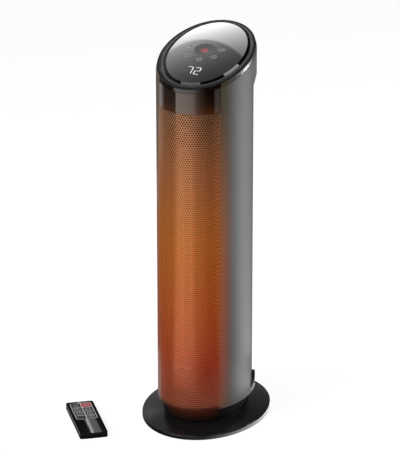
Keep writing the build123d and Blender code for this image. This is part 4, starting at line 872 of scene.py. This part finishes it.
# Studio
def studio_lamp(name, place, aim, size, watts):
    """A soft box that points at a place."""
    lamp = bpy.data.lights.new(name, "AREA")
    lamp.energy = watts
    lamp.shape = "RECTANGLE"
    lamp.size, lamp.size_y = size
    made = bpy.data.objects.new(name, lamp)
    bpy.context.scene.collection.objects.link(made)
    made.location = place
    made.rotation_euler = (Vector(aim) - Vector(place)).to_track_quat("-Z", "Y").to_euler()


studio_lamp("lamp_overhead", place=(-0.53, -0.55, 2.4), aim=(-0.53, -0.54, 0), size=(1.24, 1.0), watts=9.3)
studio_lamp("lamp_bevel", place=(0.55, 0.60, 2.06), aim=(0.55, 0.61, 0), size=(0.45, 0.57), watts=4)
studio_lamp("lamp_right", place=(1.753, 1.370, 1.0), aim=(0, 0, 0.4), size=(0.8, 1.6), watts=27)
studio_lamp("lamp_front", place=(-1.45, -1.72, 1.6), aim=(0, 0, 0.3), size=(1.3, 1.3), watts=37)


def stage_piece(name, points, faces, place=None):
    """A piece of the studio, which isn't part of the object, and its empty material."""
    made = new_piece(name, points, faces)
    if place:
        made.matrix_world = place
    material = bpy.data.materials.new(name)
    material.use_nodes = True
    material.node_tree.nodes.clear()
    made.data.materials.append(material)
    return made, material.node_tree


def gloss_card(name, points, faces, place=None):
    """A card out of sight and out of the diffuse light, so that it only shapes gloss."""
    made, tree = stage_piece(name, points, faces, place)
    made.visible_camera = False
    made.visible_diffuse = False
    made.visible_shadow = False
    made.visible_transmission = False
    return tree


def card_light(tree, strength, colour=WHITE):
    """Gives a card its brightness."""
    lit = add(tree, "ShaderNodeEmission", {"Color": colour, "Strength": strength})
    add(tree, "ShaderNodeOutputMaterial", {"Surface": lit})


def rectangle(half_x, low_y, high_y):
    """The corners of a level rectangle."""
    return [(-half_x, low_y, 0), (half_x, low_y, 0), (half_x, high_y, 0), (-half_x, high_y, 0)]


def card_stand(middle, across, along):
    """Where a flat card hangs, from its middle and the directions of its sides."""
    return Matrix.Translation(middle) @ Matrix((across, along, across.cross(along))).transposed().to_4x4()


def by_azimuth(tree, tones):
    """A tone by azimuth in degrees, from the front towards the right."""
    parts = place_parts(tree)
    ahead = add(tree, "ShaderNodeMath", {0: parts["Y"], 1: -1.0}, operation="MULTIPLY")
    turn = add(tree, "ShaderNodeMath", {0: parts["X"], 1: ahead}, operation="ARCTAN2")
    share = add(tree, "ShaderNodeMapRange", {"Value": turn, "From Min": -math.pi, "From Max": math.pi})
    stops = [((azimuth + 180) / 360, code) for azimuth, code in tones]
    return add(tree, "ShaderNodeValToRGB", {"Fac": share}, stops=stops)


def turned_card(name, section, strength, tones=None, first=-180, last=180, steps=72, squash=(1, 1)):
    """A card of (radius, height) turned round the heater from one azimuth to another.

    Its tones change with the azimuth, or it is white all over. squash scales it along X and Y.
    """
    points, faces, n = [], [], len(section)
    for i in range(steps + 1):
        a = math.radians(first + (last - first) * i / steps)
        points += [(r * math.sin(a) * squash[0], -r * math.cos(a) * squash[1], z) for r, z in section]
    for i in range(steps):
        for k in range(n - 1):
            here, there = i * n + k, (i + 1) * n + k
            faces.append((here, there, there + 1, here + 1))
    tree = gloss_card(name, points, faces)
    card_light(tree, strength, by_azimuth(tree, tones) if tones else WHITE)


ONE_FACE = [(0, 1, 2, 3)]

# Pale card behind and above, mirrored in the glass: white at the top of the panel, and
# darker inside a round edge. Its brightness is e to the power of a slope, cut off where it
# is brightest. Each slope is (at the middle, per metre across, per metre along)
PANEL_CARD_MIDDLE = (-0.45104, 0.88122, 1.54487)
PANEL_CARD_ACROSS = Vector((0.89128, 0.45346, 0))
PANEL_CARD_ALONG = Vector((0.31834, -0.62569, 0.71216))
OUTER_SLOPE = (1.142, -0.41, -27.4)
INNER_SLOPE = (0.387, -4.08, -27.8)
BRIGHTEST = 14.0
ROUND_MIDDLE = (-0.0208, 0.0678, 0)
ROUND_OUTSIDE, ROUND_INSIDE = 0.1036, 0.0996

tree = gloss_card(
    "panel_card", rectangle(0.16, -0.11, 0.09), ONE_FACE,
    card_stand(PANEL_CARD_MIDDLE, PANEL_CARD_ACROSS, PANEL_CARD_ALONG)
)
where = add(tree, "ShaderNodeTexCoord").outputs["Object"]
parts = place_parts(tree)
levels = []
for level, across, along in (OUTER_SLOPE, INNER_SLOPE):
    slope = add(tree, "ShaderNodeMath", {0: parts["X"], 1: across, 2: level}, operation="MULTIPLY_ADD")
    slope = add(tree, "ShaderNodeMath", {0: parts["Y"], 1: along, 2: slope}, operation="MULTIPLY_ADD")
    grown = add(tree, "ShaderNodeMath", {0: slope}, operation="EXPONENT")
    levels.append(add(tree, "ShaderNodeMath", {0: grown, 1: BRIGHTEST}, operation="MINIMUM"))
away = add(tree, "ShaderNodeVectorMath", {0: where, 1: ROUND_MIDDLE}, operation="DISTANCE")
inside = add(tree, "ShaderNodeMapRange", {"Value": away, "From Min": ROUND_OUTSIDE, "From Max": ROUND_INSIDE})
shares = {"Factor": inside, NUMBER_A: levels[0], NUMBER_B: levels[1]}
card_light(tree, add(tree, "ShaderNodeMix", shares, data_type="FLOAT"))

# Cards on the floor, mirrored in the upright walls: a pale block in front and a bright one
# to the right, with black between them. Only the far one has the block at the left, which
# the trim shows and the grille doesn't
FLOOR_CARD_HEIGHT = 0.004
FLOOR_CARD_LIGHT = 3.5
left_tones = [(-128, "#181818"), (-117, "#8c8a88"), (-108, "#9c9896"), (-101, "#7a7774")]
main_tones = [
    (-180, "#181818"),
    (-93, "#383431"),
    (-62, "#3f3a36"),
    (-49, "#504944"),
    (-46, "#f6e6dc"),
    (-10, "#f4e2d8"),
    (10, "#dac8be"),
    (18, "#9a8a80"),
    (30, "#705c50"),
    (44, "#312926"),
    (56, "#000000"),
    (64, "#000000"),
    (69, "#858280"),
    (84, "#605e5c"),
    (98, "#787878"),
    (110, "#b4b4b4"),
    (122, "#dcdcdc"),
    (136, "#cccccc"),
    (148, "#a0a0a0"),
    (160, "#606060"),
]

# Close to the heater, the flank sees each tone further round to the front
SIDE_SKEW = 16
SIDE_FROM = 56
side_tones = [(azimuth - SIDE_SKEW, code) for azimuth, code in main_tones if azimuth > SIDE_FROM]
for name, reach, first, last, tones in (
    ("floor_card_far", (1.15, 2.1), -180, 180, sorted(main_tones + left_tones)),
    ("floor_card_near", (0.26, 1.15), -180, 180, main_tones),
    ("floor_card_side", (0.14, 0.26), 48, 156, side_tones),
):
    turned_card(name, [(r, FLOOR_CARD_HEIGHT) for r in reach], FLOOR_CARD_LIGHT, tones, first, last)

# A card that only the remote's polished top shows: a bright stripe beside a grey one. It
# hangs where the camera sees it in the remote, so it is laid out from the camera's mirror place
REMOTE_CARD_RISE = 0.2
REMOTE_CARD_LIGHT = 4.2
STRIPES_HALF_WIDTH = 24
STRIPES_HALF_LENGTH = 62
STRIPES = [(0.0, "#181818"), (0.42, "#181818"), (0.43, "#f0f0f0"), (0.50, "#f0f0f0"), (0.51, "#8c8c8c")]
STRIPES += [(0.74, "#7c7c7c"), (0.76, "#202020"), (1.0, "#181818")]

mirror_eye = Vector((CAMERA_PLACE[0], CAMERA_PLACE[1], 2 * REMOTE_HEIGHT * MM - CAMERA_PLACE[2]))
points = []
for x, y, _ in rectangle(STRIPES_HALF_WIDTH, -STRIPES_HALF_LENGTH, STRIPES_HALF_LENGTH):
    on_top = REMOTE @ (Vector((x, y, REMOTE_HEIGHT)) * MM)
    way = on_top - mirror_eye
    points.append(on_top + way * (REMOTE_CARD_RISE / way.z))
across, along = points[1] - points[0], points[3] - points[0]
half_across, half_along = across.length / 2, along.length / 2
tree = gloss_card(
    "remote_card", rectangle(half_across, -half_along, half_along), ONE_FACE,
    card_stand(sum(points, Vector()) / 4, across.normalized(), along.normalized())
)
span = {"Value": place_parts(tree)["X"], "From Min": -half_across, "From Max": half_across}
share = add(tree, "ShaderNodeMapRange", span)
card_light(tree, REMOTE_CARD_LIGHT, add(tree, "ShaderNodeValToRGB", {"Fac": share}, stops=STRIPES))

# Upright cards for the shoulder: pale in front above eye level with a soft right end, and
# a small bright one at the right
UPRIGHT_RADIUS = 1.6
front_tones = [(-66, "#f0f0f0"), (-45, "#ffffff"), (-5, "#ececec"), (8, "#e0e0e0"), (14, "#b4b4b4")]
front_tones += [(27, "#707070"), (40, "#000000")]
for name, low, high, first, last, light, tones in (
    ("shoulder_card", 0.80, 1.35, -66, 44, 2.3, front_tones),
    ("edge_card", 0.56, 0.70, 120, 134, 36.0, None),
):
    turned_card(name, [(UPRIGHT_RADIUS, low), (UPRIGHT_RADIUS, high)], light, tones, first, last, steps=12)

# A low card round the base, mirrored in its rim
base_tones = [(-120, "#707070"), (-60, "#404040"), (-20, "#000000"), (20, "#606060"), (50, "#ffffff")]
base_tones += [(120, "#ffffff")]
turned_card("rim_card", [(0.110, 0.0005), (0.124, 0.0005)], 4.0, base_tones, squash=(0.86, 1.1))

# Dark tent round the set, paler behind it on the left: where there is no card or lamp, gloss
# shows the tent and stays dark
tent_section = [(2.3, 0.02), (2.3, 2.7), (1.7, 3.1), (0.05, 3.3)]
tent_tones = [(-180, "#656565"), (-165, "#808080"), (-150, "#909090"), (-120, "#909090"), (-70, "#303030")]
tent_tones += [(160, "#303030")]
turned_card("black_tent", tent_section, 1.0, tent_tones)

# White paper floor: grey enough in its real light to keep the walls dark, and close to
# white in the picture, with the object's soft shadow left in
PAPER_GREY = (0.50, 0.50, 0.50, 1)
PAPER_LIGHT = 1.72
PAPER_LIGHT_SHARE = 0.5
_, tree = stage_piece("floor", rectangle(9, -9, 9), ONE_FACE)
rays = add(tree, "ShaderNodeLightPath").outputs
paper = add(tree, "ShaderNodeBsdfDiffuse", {"Color": PAPER_GREY})
lit = add(tree, "ShaderNodeEmission", {"Color": WHITE, "Strength": PAPER_LIGHT})
seen = add(tree, "ShaderNodeMath", {0: rays["Is Camera Ray"], 1: PAPER_LIGHT_SHARE}, operation="MULTIPLY")
blend = add(tree, "ShaderNodeMixShader", {0: seen, 1: paper, 2: lit})
add(tree, "ShaderNodeOutputMaterial", {"Surface": blend})

# White surroundings for the camera, gloss and glass, and a low even light for all else
AMBIENT_LIGHT = 0.22
world = bpy.data.worlds.new("studio")
bpy.context.scene.world = world
world.use_nodes = True
tree = world.node_tree
tree.nodes.clear()
rays = add(tree, "ShaderNodeLightPath").outputs
seen = add(tree, "ShaderNodeMath", {0: rays["Is Camera Ray"], 1: rays["Is Glossy Ray"]}, operation="MAXIMUM")
seen = add(tree, "ShaderNodeMath", {0: seen, 1: rays["Is Transmission Ray"]}, operation="MAXIMUM")
soft = add(tree, "ShaderNodeBackground", {"Color": WHITE, "Strength": AMBIENT_LIGHT})
white = add(tree, "ShaderNodeBackground", {"Color": WHITE, "Strength": 1.0})
blend = add(tree, "ShaderNodeMixShader", {0: seen, 1: soft, 2: white})
add(tree, "ShaderNodeOutputWorld", {"Surface": blend})

bpy.context.scene.view_settings.view_transform = "Standard"

camera_data = bpy.data.cameras.new("camera")
camera_data.sensor_width = SENSOR_WIDTH
camera_data.sensor_fit = "AUTO"
camera_data.lens = CAMERA_LENS
camera_data.shift_x = PICTURE_SHIFT_X / PICTURE_HEIGHT
camera_data.shift_y = PICTURE_SHIFT_Y / PICTURE_HEIGHT
camera_data.clip_start = 0.1
camera_data.clip_end = 60
camera = bpy.data.objects.new("camera", camera_data)
bpy.context.scene.collection.objects.link(camera)
camera.location = CAMERA_PLACE
camera.rotation_euler = (Vector(CAMERA_AIM) - camera.location).to_track_quat("-Z", "Y").to_euler()
bpy.context.scene.camera = camera
